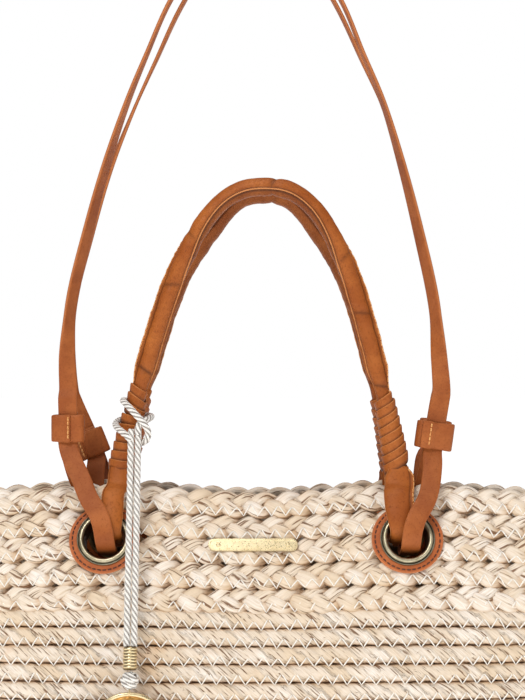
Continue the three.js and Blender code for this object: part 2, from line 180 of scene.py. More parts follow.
def skin(points, closed=False, tags=None):
    """A closed body from rows of rings: a grid rolled up round each ring, with open ends filled."""
    rows, around = points.shape[:2]
    points = np.concatenate([points, points[:, :1]], 1)
    if closed:
        points = np.concatenate([points, points[:1]])
        rows += 1
    bm = bmesh.new()
    layers = [bm.verts.layers.float.new(name) for name in LAYERS]
    made = bmesh.ops.create_grid(bm, x_segments=around, y_segments=rows - 1, size=0.5)["verts"]
    tags = tags or {}
    values = {n: np.broadcast_to(v, (rows, around + 1)).reshape(-1) for n, v in tags.items()}
    used = [(layer, values[name]) for layer, name in zip(layers, LAYERS) if name in values]
    for i, (vert, point) in enumerate(zip(made, points.reshape(-1, 3))):
        vert.co = point
        for layer, value in used:
            vert[layer] = value[i]
    bmesh.ops.remove_doubles(bm, verts=made, dist=1e-7)
    if not closed:
        bmesh.ops.holes_fill(bm, edges=[e for e in bm.edges if e.is_boundary], sides=0)
    bmesh.ops.recalc_face_normals(bm, faces=bm.faces)
    return bm


def tube(centre, wide, deep, half_wide, half_deep, around,
         closed=False, swell=1.0, tags=None, turn=0.0, power=1.0):
    """A round or flattened rod along points. A power under 1 squares its section."""
    phi = ring_angles(around, turn)[:-1]
    ca, sa = np.cos(phi), np.sin(phi)
    ca = np.sign(ca) * np.abs(ca) ** power
    sa = np.sign(sa) * np.abs(sa) ** power
    swell = np.broadcast_to(swell, (len(centre), around))
    hw = np.broadcast_to(half_wide, len(centre))[:, None]
    hd = np.broadcast_to(half_deep, len(centre))[:, None]
    across = wide[:, None] * (hw * ca * swell)[..., None]
    through = deep[:, None] * (hd * sa * swell)[..., None]
    return skin(centre[:, None] + across + through, closed, tags)


def along_of(points, closed=False):
    if closed:
        return unit(np.roll(points, -1, 0) - np.roll(points, 1, 0))
    padded = np.concatenate([2 * points[:1] - points[1:2], points, 2 * points[-1:] - points[-2:-1]])
    return unit(padded[2:] - padded[:-2])


def square_to(wide, ahead):
    return unit(wide - ahead * (wide * ahead).sum(-1, keepdims=True))


def evenly(fine, count):
    run = run_of(fine)
    even = np.linspace(0, run[-1], count)
    return np.stack([np.interp(even, run, fine[:, k]) for k in range(3)], -1)


def smooth_line(points, count):
    """Evenly spaced points on a smooth curve through the given ones."""
    p = np.array(points, float)
    p = np.concatenate([2 * p[:1] - p[1:2], p, 2 * p[-1:] - p[-2:-1]])
    fine = []
    for i in range(len(p) - 3):
        p0, p1, p2, p3 = p[i : i + 4]
        t0 = 0.0
        t1 = t0 + max(np.linalg.norm(p1 - p0), 1e-6) ** 0.5
        t2 = t1 + max(np.linalg.norm(p2 - p1), 1e-6) ** 0.5
        t3 = t2 + max(np.linalg.norm(p3 - p2), 1e-6) ** 0.5
        t = np.linspace(t1, t2, 25)[:, None]
        between = lambda a, ta, b, tb: (tb - t) / (tb - ta) * a + (t - ta) / (tb - ta) * b
        a1, a2, a3 = between(p0, t0, p1, t1), between(p1, t1, p2, t2), between(p2, t2, p3, t3)
        stretch = between(between(a1, t0, a2, t2), t1, between(a2, t1, a3, t3), t2)
        fine.append(stretch if i == len(p) - 4 else stretch[:-1])
    return evenly(np.concatenate(fine), count)


def ease(t):
    t = np.clip(t, 0, 1)
    return t * t * (3 - 2 * t)


def gather(name, parts, material, smooth=True):
    """One object from several bmeshes."""
    whole = blank()
    for part in parts:
        held = bpy.data.meshes.new("held")
        part.to_mesh(held)
        part.free()
        whole.from_mesh(held)
        bpy.data.meshes.remove(held)
    mesh = bpy.data.meshes.new(name)
    whole.to_mesh(mesh)
    whole.free()
    mesh.materials.append(material)
    mesh.shade_smooth() if smooth else None
    piece = bpy.data.objects.new(name, mesh)
    bpy.context.scene.collection.objects.link(piece)
    return piece


def place(piece, body, slot, *nodes):
    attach(piece, body)
    if nodes:
        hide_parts(*nodes)
    return piece


def make(name, parts, material, body, slot, *nodes):
    """A finished rigid piece, in place on its body."""
    return place(gather(name, parts, material), body, slot, *nodes)


# ---- material tools ----
def srgb(r, g, b):
    return tuple((c / 255) ** 2.2 for c in (r, g, b)) + (1.0,)


class Nodes:
    """Adds and links the nodes of a material or a group."""

    def __init__(self, tree):
        self.tree = tree

    def add(self, kind, **settings):
        node = self.tree.nodes.new("ShaderNode" + kind)
        inputs = settings.pop("inputs", {})
        for key, value in settings.items():
            setattr(node, key, value)
        for key, value in inputs.items():
            self.feed(value, node.inputs[key])
        return node

    def feed(self, value, socket):
        if isinstance(value, bpy.types.NodeSocket):
            self.tree.links.new(value, socket)
        else:
            socket.default_value = value

    def math(self, operation, a, b):
        return self.add("Math", operation=operation, inputs={0: a, 1: b}).outputs[0]

    def times(self, a, b):
        return self.math("MULTIPLY", a, b)

    def mix(self, factor, a, b):
        node = self.add("Mix", data_type="RGBA", clamp_factor=True)
        self.feed(factor, node.inputs[0])
        self.feed(a, node.inputs[6])
        self.feed(b, node.inputs[7])
        return node.outputs[2]

    def layered(self, base, *coats):
        """A base colour with coats over it, each as its share and its colour."""
        for share, colour in coats:
            base = self.mix(share, base, srgb(*colour))
        return base

    def remap(self, value, low, high, to_low=0.0, to_high=1.0):
        node = self.add("MapRange", inputs={0: value, 1: low, 2: high, 3: to_low, 4: to_high})
        return node.outputs[0]

    def attribute(self, name):
        return self.add("Attribute", attribute_name=name).outputs["Fac"]

    def noise(self, vector, scale, detail=3.0, roughness=0.55):
        inputs = {"Vector": vector, "Scale": scale, "Detail": detail, "Roughness": roughness}
        return self.add("TexNoise", inputs=inputs).outputs["Fac"]

    def combine(self, x, y, z):
        return self.add("CombineXYZ", inputs={0: x, 1: y, 2: z}).outputs[0]

    def object_place(self):
        return self.add("TexCoord").outputs["Object"]


def new_group(name, inputs, outputs):
    group = bpy.data.node_groups.new(name, "ShaderNodeTree")
    for socket, kind, default in inputs:
        made = group.interface.new_socket(name=socket, in_out="INPUT", socket_type="NodeSocket" + kind)
        if default is not None:
            made.default_value = default
    for socket in outputs:
        group.interface.new_socket(name=socket, in_out="OUTPUT", socket_type="NodeSocketFloat")
    return Nodes(group), group.nodes.new("NodeGroupInput"), group.nodes.new("NodeGroupOutput")


def use_group(nodes, group_name, **inputs):
    node = nodes.tree.nodes.new("ShaderNodeGroup")
    node.node_tree = bpy.data.node_groups[group_name]
    for key, value in inputs.items():
        nodes.feed(value, node.inputs[key.replace("_", " ")])
    return node.outputs


def new_material(name, **shader):
    material = bpy.data.materials.new(name)
    material.use_nodes = True
    nodes = Nodes(material.node_tree)
    bsdf = material.node_tree.nodes["Principled BSDF"]
    for key, value in shader.items():
        bsdf.inputs[key.replace("_", " ")].default_value = value
    return material, nodes, bsdf


def bump(nodes, bsdf, height, distance, strength=1.0):
    node = nodes.add("Bump", inputs={"Strength": strength, "Distance": distance, "Height": height})
    nodes.feed(node.outputs["Normal"], bsdf.inputs["Normal"])


def fibre_group():
    """Fine lines, folds and dark slits that run along a strip of husk."""
    sockets = [("Along", "Float", 0.0), ("Across", "Float", 0.0), ("Tone", "Float", 0.0)]
    nodes, come, go = new_group("husk_fibre", sockets, ("Lines", "Folds", "Slits", "Height"))
    along, across, tone = come.outputs[0], come.outputs[1], come.outputs[2]

    def streaks(fine, long, shift):
        place_ = nodes.combine(nodes.times(across, fine), nodes.times(along, long), nodes.times(tone, shift))
        return nodes.noise(place_, 1.0, 2.0)

    lines = streaks(1500.0, 60.0, 40.0)
    folds = streaks(620.0, 45.0, 23.0)
    slits = nodes.remap(folds, 0.6, 0.66)
    height = nodes.math("ADD", nodes.times(lines, 0.35), nodes.times(folds, 0.65))
    height = nodes.math("SUBTRACT", height, nodes.times(slits, 0.5))
    for i, value in enumerate((lines, folds, slits, height)):
        nodes.feed(value, go.inputs[i])


def straw_material(name, seed):
    material, nodes, bsdf = new_material(name, Roughness=0.62, Specular_IOR_Level=0.35)
    along, across, tone, depth = (nodes.attribute(layer) for layer in LAYERS)
    fibre = use_group(nodes, "husk_fibre", Along=along, Across=across, Tone=tone)
    place_ = nodes.object_place()
    cloud = nodes.noise(place_, 26.0, 3.0)
    moved = nodes.add("Mapping", inputs={"Vector": place_, "Location": (seed, 0, 0)}).outputs[0]
    stain = nodes.remap(nodes.noise(moved, 17.0, 4.0, 0.6), 0.6, 0.74)
    shaded = nodes.remap(nodes.math("ADD", cloud, nodes.times(tone, 0.4)), 0.4, 0.95)
    base = nodes.layered(
        srgb(250, 241, 230),
        (shaded, (230, 208, 180)),
        (nodes.times(nodes.remap(fibre["Folds"], 0.48, 0.6), 0.5), (220, 194, 160)),
        (nodes.times(nodes.remap(fibre["Lines"], 0.4, 0.68), 0.5), (208, 182, 148)),
        (nodes.times(stain, 0.5), (212, 162, 106)),
        # Painted shade: where the depth layer is low the husk is browned, as if sunk in a crevice between
        # strands and courses.
        (nodes.remap(depth, 0.25, 0.8, 0.6, 0.0), (204, 160, 110)),
        (nodes.times(fibre["Slits"], 0.85), (112, 68, 32)),
        # Painted shade, dark brown in the deepest crevices.
        (nodes.remap(depth, 0.02, 0.42, 0.95, 0.0), (104, 62, 30)),
    )
    nodes.feed(base, bsdf.inputs["Base Color"])
    bump(nodes, bsdf, fibre["Height"], 0.9 * MM)
    return material


def thread_material():
    material, nodes, bsdf = new_material("sewing_thread", Roughness=0.5)
    speck = nodes.noise(nodes.object_place(), 900.0, 2.0)
    nodes.feed(nodes.mix(speck, srgb(252, 248, 240), srgb(240, 232, 218)), bsdf.inputs["Base Color"])
    return material


# ---- eyelet places ----
def eyelet_place(side, face):
    x = side * EYELET_X
    z = EYELET_Z + float(wave(x, EYELET_Z))
    slope_x = (panel_y(x + MM, EYELET_Z) - panel_y(x - MM, EYELET_Z)) / (2 * MM)
    slope_z = (panel_y(x, EYELET_Z + MM) - panel_y(x, EYELET_Z - MM)) / (2 * MM)
    y = face * (panel_y(x, EYELET_Z) - WALL / 2 / math.cos(math.atan(slope_z)))
    out = Vector((-slope_x, face, -slope_z)).normalized()
    turn = Vector((0, 0, 1)).rotation_difference(out).to_matrix().to_4x4()
    return Matrix.Translation((x, y, z)) @ turn


SIDES = {"left": -1, "right": 1}
FACES = {"front": -1, "back": 1}
HANDLE_BODY = {-1: "front_handle", 1: "back_handle"}
CORNERS = {f"{f}_{s}": (SIDES[s], FACES[f]) for f in FACES for s in SIDES}
EYELETS = {name: eyelet_place(*signs) for name, signs in CORNERS.items()}


def clear_of_eyelets(points, radius):
    keep = np.ones(len(points), bool)
    for matrix in EYELETS.values():
        origin, axis = np.array(matrix.translation), np.array(matrix.col[2][:3])
        away = points - origin
        through = (away * axis).sum(-1)
        sideways = np.linalg.norm(away - through[:, None] * axis, axis=-1)
        keep &= (sideways > radius) | (np.abs(through) > 30 * MM)
    return keep


def runs_of(keep):
    """The index ranges of a closed line that are kept: None where all of it is."""
    if keep.all():
        return None
    first = int(np.argmin(keep))
    order = (np.arange(len(keep)) + first) % len(keep)
    runs, current = [], []
    for i in order:
        if keep[i]:
            current.append(i)
        elif current:
            runs.append(current)
            current = []
    if current:
        runs.append(current)
    return [r for r in runs if len(r) > 3]


# ---- straw ----
def plaited_course(z, seed, cut=False, top=False):
    """A flat plait of three husk strands sewn edge to edge, its lower edge lapping the course below."""
    rng = np.random.RandomState(seed)
    course = Course(z, WALL / 2, 2.1 * MM, start=0.7 * seed)
    periods = int(round(course.length / PLAIT_REPEAT))
    phi = ring_angles(HUSK_SIDES, INNER_SIDE)
    parts = []
    for strand in range(3):
        theta = TAU * (course.run / course.length * periods + strand / 3)
        drift = 0.25 * np.sin(TAU * course.run / course.length * 7 + rng.rand() * TAU)
        theta += drift
        lateral = 5.4 * MM * (np.sin(theta) - np.sin(3 * theta) / 10)
        depth = 2.0 * MM * np.sin(2 * theta) + 0.45 * MM * np.cos(theta)
        lower = np.clip(-np.sin(theta), 0, 1)
        lap = -PLAIT_LEAN * lateral + 0.9 * MM * lower
        centre = course.at + course.up * (lateral - 0.5 * MM)[:, None] + course.out * (depth + lap)[:, None]
        ahead = along_of(centre, closed=True)
        wide = unit(np.cross(course.out, ahead))
        deep = np.cross(ahead, wide)
        lump = np.clip(np.sin(2 * theta), 0, 1)
        cell = np.floor(theta / math.pi).astype(int)
        size = 1 + 0.07 * rng.randn(int(cell.max() - cell.min()) + 1)[cell - cell.min()]
        size = np.convolve(np.r_[size[-3:], size, size[:3]], np.ones(7) / 7, "valid")
        upper = np.clip(np.sin(theta), 0, 1)
        half_wide = (4.1 + 0.5 * lump + 1.1 * lower - 0.4 * upper) * MM * size
        half_deep = (2.5 + 0.4 * lump - 0.3 * lower) * MM * size
        swell = np.ones((course.count, HUSK_SIDES))
        for folds, reach, amount in ((3, 70, 0.04), (5, 48, 0.055), (7, 60, 0.06)):
            waves = TAU * np.round(course.length / (reach * MM))
            phase = rng.rand() * TAU + rng.choice([-1, 1]) * waves * course.run / course.length
            swell += amount * np.cos(folds * phi[:-1] + phase[:, None])
        tone = rng.rand(int(cell.max() - cell.min()) + 1)[cell - cell.min()]
        runs = [None]
        if cut:
            runs = runs_of(clear_of_eyelets(centre, 17.5 * MM)) or [None]
        for run in runs:
            rows = np.arange(course.count) if run is None else np.array(run)
            index = np.r_[rows, rows[:1]] if run is None else rows
            # The depth tag: how far each point faces out, kept high along the rim's open top edge; the straw
            # material paints shade where it is low.
            through = depth[index, None] + half_deep[index, None] * np.sin(phi)
            out_share = (np.abs(through) + 0.9 * MM) / (4.6 * MM)
            level = (lateral[index, None] + half_wide[index, None] * np.cos(phi)) / (9.0 * MM)
            open_edge = ease((level - 0.1) / 0.5) if top else 0
            shown = out_share - 0.35 * np.clip(np.abs(level) - 0.75, 0, 1)
            tags = {
                "along": (course.run[index] * 1.25)[:, None] + strand * 0.37,
                "across": phi * 5.2 * MM + seed * 0.01,
                "tone": tone[index][:, None],
                "depth": np.clip(np.maximum(shown, open_edge), -1, 1),
            }
            strip = (centre[rows], wide[rows], deep[rows], half_wide[rows], half_deep[rows], HUSK_SIDES)
            parts.append(tube(*strip, run is None, swell[rows], tags, INNER_SIDE, 0.8))
    return parts


def coiled_course(z, height, seed):
    """One turn of a straw rope bound with husk: the bindings slant down to the right."""
    rng = np.random.RandomState(1000 + seed)
    course = Course(z, WALL / 2 + 0.2 * MM, 2.5 * MM, start=0.31 * seed)
    phi = ring_angles(ROPE_SIDES, INNER_SIDE)
    slant = 4 * (phi - math.pi / 2)
    half_high = height / 2 / np.maximum(course.slope, 0.8) * 1.03
    binds = int(round(course.length / BINDING))
    way_round = TAU * course.run / course.length
    turns = way_round * binds + 0.5 * np.sin(way_round * 9 + seed)
    phase = turns[:, None] - slant[:-1]
    saw = (phase / TAU) % 1.0
    cell = np.floor(phase / TAU).astype(int)
    table = rng.rand(int(cell.max() - cell.min()) + 1)
    step = np.exp(-((saw - 0.5) / 0.42) ** 4)
    swell = 0.91 + 0.09 * step + 0.05 * (saw - 0.5) + 0.06 * (table[cell - cell.min()] - 0.5)
    swell += 0.012 * np.cos(2 * phi[:-1] + TAU * 5 * (course.run / course.length)[:, None] + seed)
    girth = (phi - math.pi / 2) * 6.6 * MM
    phase = np.r_[turns, turns[-1] + turns[1] - turns[0]][:, None] - slant
    cell = np.floor(phase / TAU).astype(int)
    tones = np.random.RandomState(2000 + seed).rand(int(cell.max() - cell.min()) + 2)
    run = np.r_[course.run, course.length][:, None]
    tags = {
        "along": girth + run,
        "across": girth - run,
        "tone": tones[cell - cell.min()],
        # depth: low on the rope's upper and lower sides, where the straw material paints shade between the
        # courses.
        "depth": np.clip(1.25 * np.abs(np.sin(phi)) - 0.2, 0, 1),
    }
    strip = (course.at, course.up, course.out, half_high, 5.3 * MM, ROPE_SIDES)
    return tube(*strip, True, swell, tags, INNER_SIDE)


def zigzag(z_joint, out_top, out_low, seed, cut=False, high=6.8 * MM):
    """The sewing thread that joins two courses: up on to the course above and down into the joint."""
    course = Course(z_joint, WALL / 2, 1.1 * MM, start=1.3 * seed)
    stitches = int(round(course.length / ZIGZAG))
    rng = np.random.RandomState(3000 + seed)
    share = np.arange(stitches * 8) / (stitches * 8)
    wobble = 0.1 * np.sin(TAU * share * 11 + seed)
    teeth = (share * stitches) % 1.0
    rise = 1 - np.abs(2 * teeth - 1)
    index = share * course.count
    low = np.floor(index).astype(int) % course.count
    part = (index - np.floor(index))[:, None]
    pick = lambda values: values[low] * (1 - part) + values[(low + 1) % course.count] * part
    tall = high * (1 + 0.12 * rng.randn(stitches))[(share * stitches).astype(int)]
    bulge = np.sin(rise * math.pi / 2) ** 0.8
    dip = np.clip((rise - 0.8) / 0.2, 0, 1) ** 2
    out = out_low + (out_top - out_low) * bulge - 1.4 * MM * dip
    lift = rise * tall - 1.5 * MM + wobble * MM
    centre = pick(course.at) + pick(course.up) * lift[:, None] + pick(course.out) * out[:, None]
    ahead = along_of(centre, closed=True)
    deep = square_to(pick(course.out), ahead)
    wide = np.cross(deep, ahead)
    runs = (runs_of(clear_of_eyelets(centre, 20 * MM)) or [None]) if cut else [None]
    parts = []
    for run in runs:
        rows = np.arange(len(centre)) if run is None else np.array(run)
        parts.append(tube(centre[rows], wide[rows], deep[rows], 0.48 * MM, 0.4 * MM, 4, run is None))
    return parts


def braid_height(i):
    return RIM - BRAID_COURSE * (i + 0.5)


COIL_TOP = RIM - BRAID_COURSE * BRAID_COURSES
COIL_PITCH = (COIL_TOP - BASE_THICKNESS) / COIL_COURSES


def straw_body():
    plait = straw_material("plaited_straw", 3.0)
    coil = straw_material("coiled_straw", 9.0)
    rim = plaited_course(braid_height(0), 1, top=True)
    make("rim_plait", rim, plait, "bag", "straw", "rim_braid_course")
    band = [p for i in (1, 2, 3) for p in plaited_course(braid_height(i), i + 1, cut=True)]
    make("eyelet_plaits", band, plait, "bag", "straw", "eyelet_braid_band")
    lowest = plaited_course(braid_height(4), 5)
    make("lowest_plait", lowest, plait, "bag", "straw", "lower_braid_course")
    heights = [COIL_TOP - COIL_PITCH * (i + 0.5) for i in range(COIL_COURSES)]
    courses = [coiled_course(z, COIL_PITCH, i) for i, z in enumerate(heights)]
    make("upper_coils", courses[:10], coil, "bag", "straw", "upper_coiled_wall")
    make("lower_coils", courses[10:], coil, "bag", "straw", "lower_coiled_wall")
    thread = thread_material()
    seams = []
    for i in range(1, BRAID_COURSES):
        seams += zigzag(RIM - BRAID_COURSE * i, 6.3 * MM, 4.2 * MM, i, cut=True)
    make("plait_seams", seams, thread, "bag", "straw")
    joints = []
    for i in range(COIL_COURSES):
        joints += zigzag(COIL_TOP - COIL_PITCH * i, 5.4 * MM, 3.2 * MM, 20 + i)
    make("coil_seams", joints, thread, "bag", "straw")
    make("base_coils", base_rings(), coil, "bag", "straw", "base_mat")


def base_rings():
    """The bottom: the same rope coiled flat in closed ovals."""
    z = BASE_THICKNESS / 2
    reach = float(half_depth(z))
    phi = ring_angles(12)
    girth = phi * 6 * MM
    rings = []
    inset = 6.3 * MM
    while inset < reach - 4 * MM:
        outermost = 1.2 if inset < 7 * MM else 0
        course = Course(z, inset, 3.2 * MM)
        run = np.r_[course.run, course.length][:, None]
        phase = TAU * course.run / course.length * int(round(course.length / BINDING))
        saw = ((phase[:, None] + 4 * phi[:-1]) / TAU) % 1.0
        swell = 0.955 + 0.05 * np.exp(-((saw - 0.5) / 0.42) ** 4)
        tags = {
            "along": girth - run,
            "across": girth + run,
            "tone": 0.5 + 0.4 * np.sin(run * 160 + inset * 900),
            # depth: low where the rings touch, with the outermost ring's outer side left high; the straw
            # material paints shade where it is low.
            "depth": np.clip(1.2 * np.abs(np.sin(phi)) - 0.1 + outermost * np.cos(phi), 0, 1),
        }
        level = np.tile([0.0, 0.0, 1.0], (course.count, 1))
        flat_out = unit(np.cross(course.along, level))
        rings.append(tube(course.at, flat_out, level, 6.1 * MM, 5.9 * MM, 12, True, swell, tags))
        inset += 11.6 * MM
    return rings


# ---- leather ----
HANDLE_FOOT = 98 * MM
HANDLE_TOP = 211 * MM
HANDLE_LEAN = 2.0
WRAP_LOW = 8 * MM
WRAP_HIGH = 70 * MM
KEEPER_WIDTH = 25 * MM
KEEPER_DEPTH = 10.4 * MM
KEEPER_HEIGHT = 19 * MM
KEEPER_WALL = 1.7 * MM
STRAP_Y = -22 * MM


def mirrored(points, face):
    """The front's points, carried over to the back for face 1."""
    return np.asarray(points) * np.array([1.0, -face, 1.0])


def above_mouth(points):
    return [(x * MM, y * MM, RIM + z * MM) for x, y, z in points]


def through_eyelet(side, points):
    """Points given across, up and out from the middle of a front eyelet."""
    matrix = EYELETS["front_left" if side < 0 else "front_right"]
    return [tuple(matrix @ (Vector(p) * MM)) for p in points]


def arch_line(count, drawn_in):
    """A handle's middle line at the front, from its left foot over to its right, its shoulders drawn in."""
    share = np.linspace(-1, 1, 4001)
    fall = np.abs(share) ** 2.5
    x = (HANDLE_LEAN + 4.2 * (1 - fall)) * MM + HANDLE_FOOT * share
    y = (-24 - 6 * (1 - fall)) * MM
    z = RIM + HANDLE_TOP - (HANDLE_TOP - WRAP_LOW) * fall
    x -= HANDLE_FOOT * share * drawn_in * np.exp(-(((z - RIM - 197 * MM) / (30 * MM)) ** 2))
    return evenly(np.stack([x, y, z], -1), count)


def arch_frame(line):
    """The leather's broad side faces forwards at the feet and turns upwards over the top."""
    ahead = along_of(line)
    turn = 1.25 * ease((line[:, 2] - RIM - 110 * MM) / (90 * MM))[:, None]
    level = np.cross(BACKWARDS, ahead)
    wide = square_to(level * np.cos(turn) - BACKWARDS * np.sin(turn), ahead)
    return wide, np.cross(wide, ahead)


BODY_ANGLES = np.radians([10, 19, 34, 53, 72, 90, 108, 127, 144, 154, 162])
FIN_EDGE = len(BODY_ANGLES) + 2


def fin_half(half_deep):
    """Half the thickness of a casing's stitched flange."""
    return np.minimum(1.25 * MM, 0.42 * half_deep)


def cut_edges(angle):
    """Where a flat strip's cut edges show their raw leather."""
    return np.clip(np.abs(np.cos(angle)) * 9 - 8, 0, 1)


def casing_section(half_wide, half_deep, flange, lip):
    """A filled leather casing: rounded body, a stitched flange on one side, a raw lip on the other."""
    t = np.r_[BODY_ANGLES, TAU - BODY_ANGLES[::-1]]
    u = half_wide[:, None] * np.cos(t)
    v = half_deep[:, None] * np.sin(t)
    fin_u = (1.0, 0.4, 0.0, -0.06, -0.06, 0.0, 0.4, 1.0)
    fin_v = (1.15, 1.0, 0.95, 0.4, -0.4, -0.95, -1.0, -1.15)
    root = -0.95 * half_wide
    fin = [root + (flange + 0.05 * half_wide) * (share - 1) for share in fin_u]
    lip_u = np.stack([half_wide + lip * k for k in (0.1, 0.85, 1.0, 0.6)], -1)
    lip_v = np.stack([half_deep * k for k in (0.0, 0.07, 0.15, 0.19)], -1)
    half = len(BODY_ANGLES)
    across = np.concatenate([u[:, :half], np.stack(fin, -1), u[:, half:], lip_u], 1)
    through = np.concatenate([v[:, :half], np.outer(fin_half(half_deep), fin_v), v[:, half:], lip_v], 1)
    shift = (flange - lip)[:, None] / 2
    edge = np.r_[np.zeros(half), 0, 0, 0.7, 1, 1, 0.7, 0, 0, np.zeros(half), 0, 1, 1, 0.7]
    # Painted shade: dark tone in the folds beside the raw lip and at the flange's root, on both faces.
    body_shade = np.r_[0.85, 0.15, np.zeros(half - 4), 0.2, 0.9]
    shade = np.r_[body_shade, 0.8, 0, 0, 0, 0, 0, 0, 0.8, body_shade[::-1], 1, 0.1, 0, 0]
    return across + shift, through, edge, np.tile(shade, (len(half_wide), 1))


def casing(line, wide, face_out, across, through, edge, shade, face, seed):
    points = line[:, None] + wide[:, None] * across[..., None] + face_out[:, None] * through[..., None]
    run = run_of(line)
    roll = np.concatenate([across, across[:, :1]], 1)
    tags = {
        "along": run[:, None] + seed,
        "across": roll + np.r_[np.sign(through[0]), np.sign(through[0, :1])] * 0.05,
        "tone": np.concatenate([shade, shade[:, :1]], 1),
        "depth": np.r_[edge, edge[:1]],
    }
    return skin(mirrored(points, face), tags=tags)


def stitches(line, out, pitch, length, radius, face=-1):
    """Single stitches along a line, their ends sunk into the leather."""
    run = run_of(line)
    made = []
    for start in np.arange(pitch / 2, run[-1] - length, pitch):
        spots = start + length * np.array([0.0, 0.12, 0.5, 0.88, 1.0])
        lift = radius * np.array([-1.1, 0.3, 0.65, 0.3, -1.1])
        on = np.stack([np.interp(spots, run, line[:, k]) for k in range(3)], -1)
        up = unit(np.stack([np.interp(spots, run, out[:, k]) for k in range(3)], -1))
        centre = mirrored(on + up * lift[:, None], face)
        ahead = along_of(centre)
        deep = square_to(mirrored(up, face), ahead)
        made.append(tube(centre, np.cross(deep, ahead), deep, 1.15 * radius, radius, 5))
    return made


# Each crease as which side of the arch it is on, its height above the mouth and how deep it is.
CREASES = [(-1, 84, 1.9), (-1, 142, 1.4), (-1, 177, 1.0), (1, 72, 1.7), (1, 123, 1.4), (1, 163, 1.1)]


def handle(name, face, leather, thread):
    rng = np.random.RandomState(5 + face)
    line = arch_line(420, 0.14 if face > 0 else 0.0)
    wide, face_out = arch_frame(line)
    height = (line[:, 2] - RIM) / MM
    run = run_of(line)
    pinch = 1 - ease((height - 68) / 18)
    leg = 1 - ease((height - 120) / 60)
    taper = 1 - np.clip((height - 8) / 62, 0, 1)
    ripple = sum(0.012 * np.sin(TAU * run / (w * MM) + rng.rand() * TAU) for w in (31, 47, 74))
    half_wide = (6.7 - 1.1 * leg - 0.8 * pinch) * MM * (1 + ripple)
    half_deep = (6.3 - 0.5 * leg - 1.4 * pinch - 0.5 * taper) * MM * (1 + ripple)
    flange = (2.9 - 0.7 * leg) * (1 - pinch) * MM + (0.4 + 0.2 * np.sin(TAU * run / (26 * MM) + face)) * MM
    frill = sum(0.24 * np.sin(TAU * run / (w * MM) + rng.rand() * TAU) for w in (6.3, 11, 19))
    lip = ((1.15 + frill) * (1 - 0.35 * leg) * (1 - pinch) + 0.2) * MM
    across, through, edge, shade = casing_section(half_wide, half_deep, flange, lip)
    top = int(np.argmax(line[:, 2])) + 6
    marks = [(run[top], 1.5, 1.6)]
    for side, high, depth in CREASES:
        here = int(np.argmin(np.abs(height - high) + 400 * (side * (line[:, 0] - 6.2 * MM) < 0)))
        marks.append((run[here], depth, 3.4))
    for at, depth, reach in marks:
        slant = run[:, None] - at + 0.35 * across * rng.choice([-1, 1])
        shoulder = (np.abs(slant) / MM - 7) / 4
        valley = np.exp(-((slant / (reach * MM)) ** 2)) - 0.35 * np.exp(-(shoulder**2))
        through -= np.sign(through) * valley * 0.6 * depth * MM * ease(np.abs(through) / half_deep[:, None])
        # Painted shade along each crease, on top of its dent.
        fold = 0.38 * depth * np.exp(-((slant / (1.1 * MM)) ** 2))
        fold += 0.1 * depth * np.exp(-((slant / (3 * MM)) ** 2))
        shade = np.maximum(shade, fold * ease(np.abs(through) / half_deep[:, None] + 0.3))
    # Painted shade on the underside of the arch, where the handle turns over the top.
    under = 0.42 * ease((height - 70) / 70)[:, None] * (through < -0.3 * MM)
    cover = casing(line, wide, face_out, across, through, edge, np.maximum(shade, under), face, 0.9 * face)
    piece = gather(f"{name}_handle", [cover], leather)
    place(piece, f"{name}_handle", "handle_leather", f"{name}_handle_cover", f"{name}_handle_core")
    seam = line + wide * (across[:, FIN_EDGE] + 0.4 * MM)[:, None]
    fin = fin_half(half_deep)[:, None]
    sewn = []
    for sign in (1, -1):
        sewn += stitches(seam + sign * face_out * fin, sign * face_out, 4.3 * MM, 3.2 * MM, 0.38 * MM, face)
    make(f"{name}_handle_stitches", sewn, thread, f"{name}_handle", "handle_leather")


FOOT_LOW = -6 * MM
FOOT_HIGH = 84 * MM
FOOT_POINTS = 200


def foot_line(side, low, high, count):
    """The middle of a handle's foot and its returned end between two heights above the mouth."""
    height = np.linspace(low, high, count)
    fall = (HANDLE_TOP - height) / (HANDLE_TOP - WRAP_LOW)
    x = (HANDLE_LEAN + 4.2 * (1 - fall)) * MM + side * HANDLE_FOOT * np.maximum(fall, 0) ** 0.4
    share = (height - WRAP_LOW) / (WRAP_HIGH - WRAP_LOW)
    y = (-24 - 6 * (1 - fall) + 4.2 - 2.2 * share) * MM
    return np.stack([x, y, RIM + height], -1)


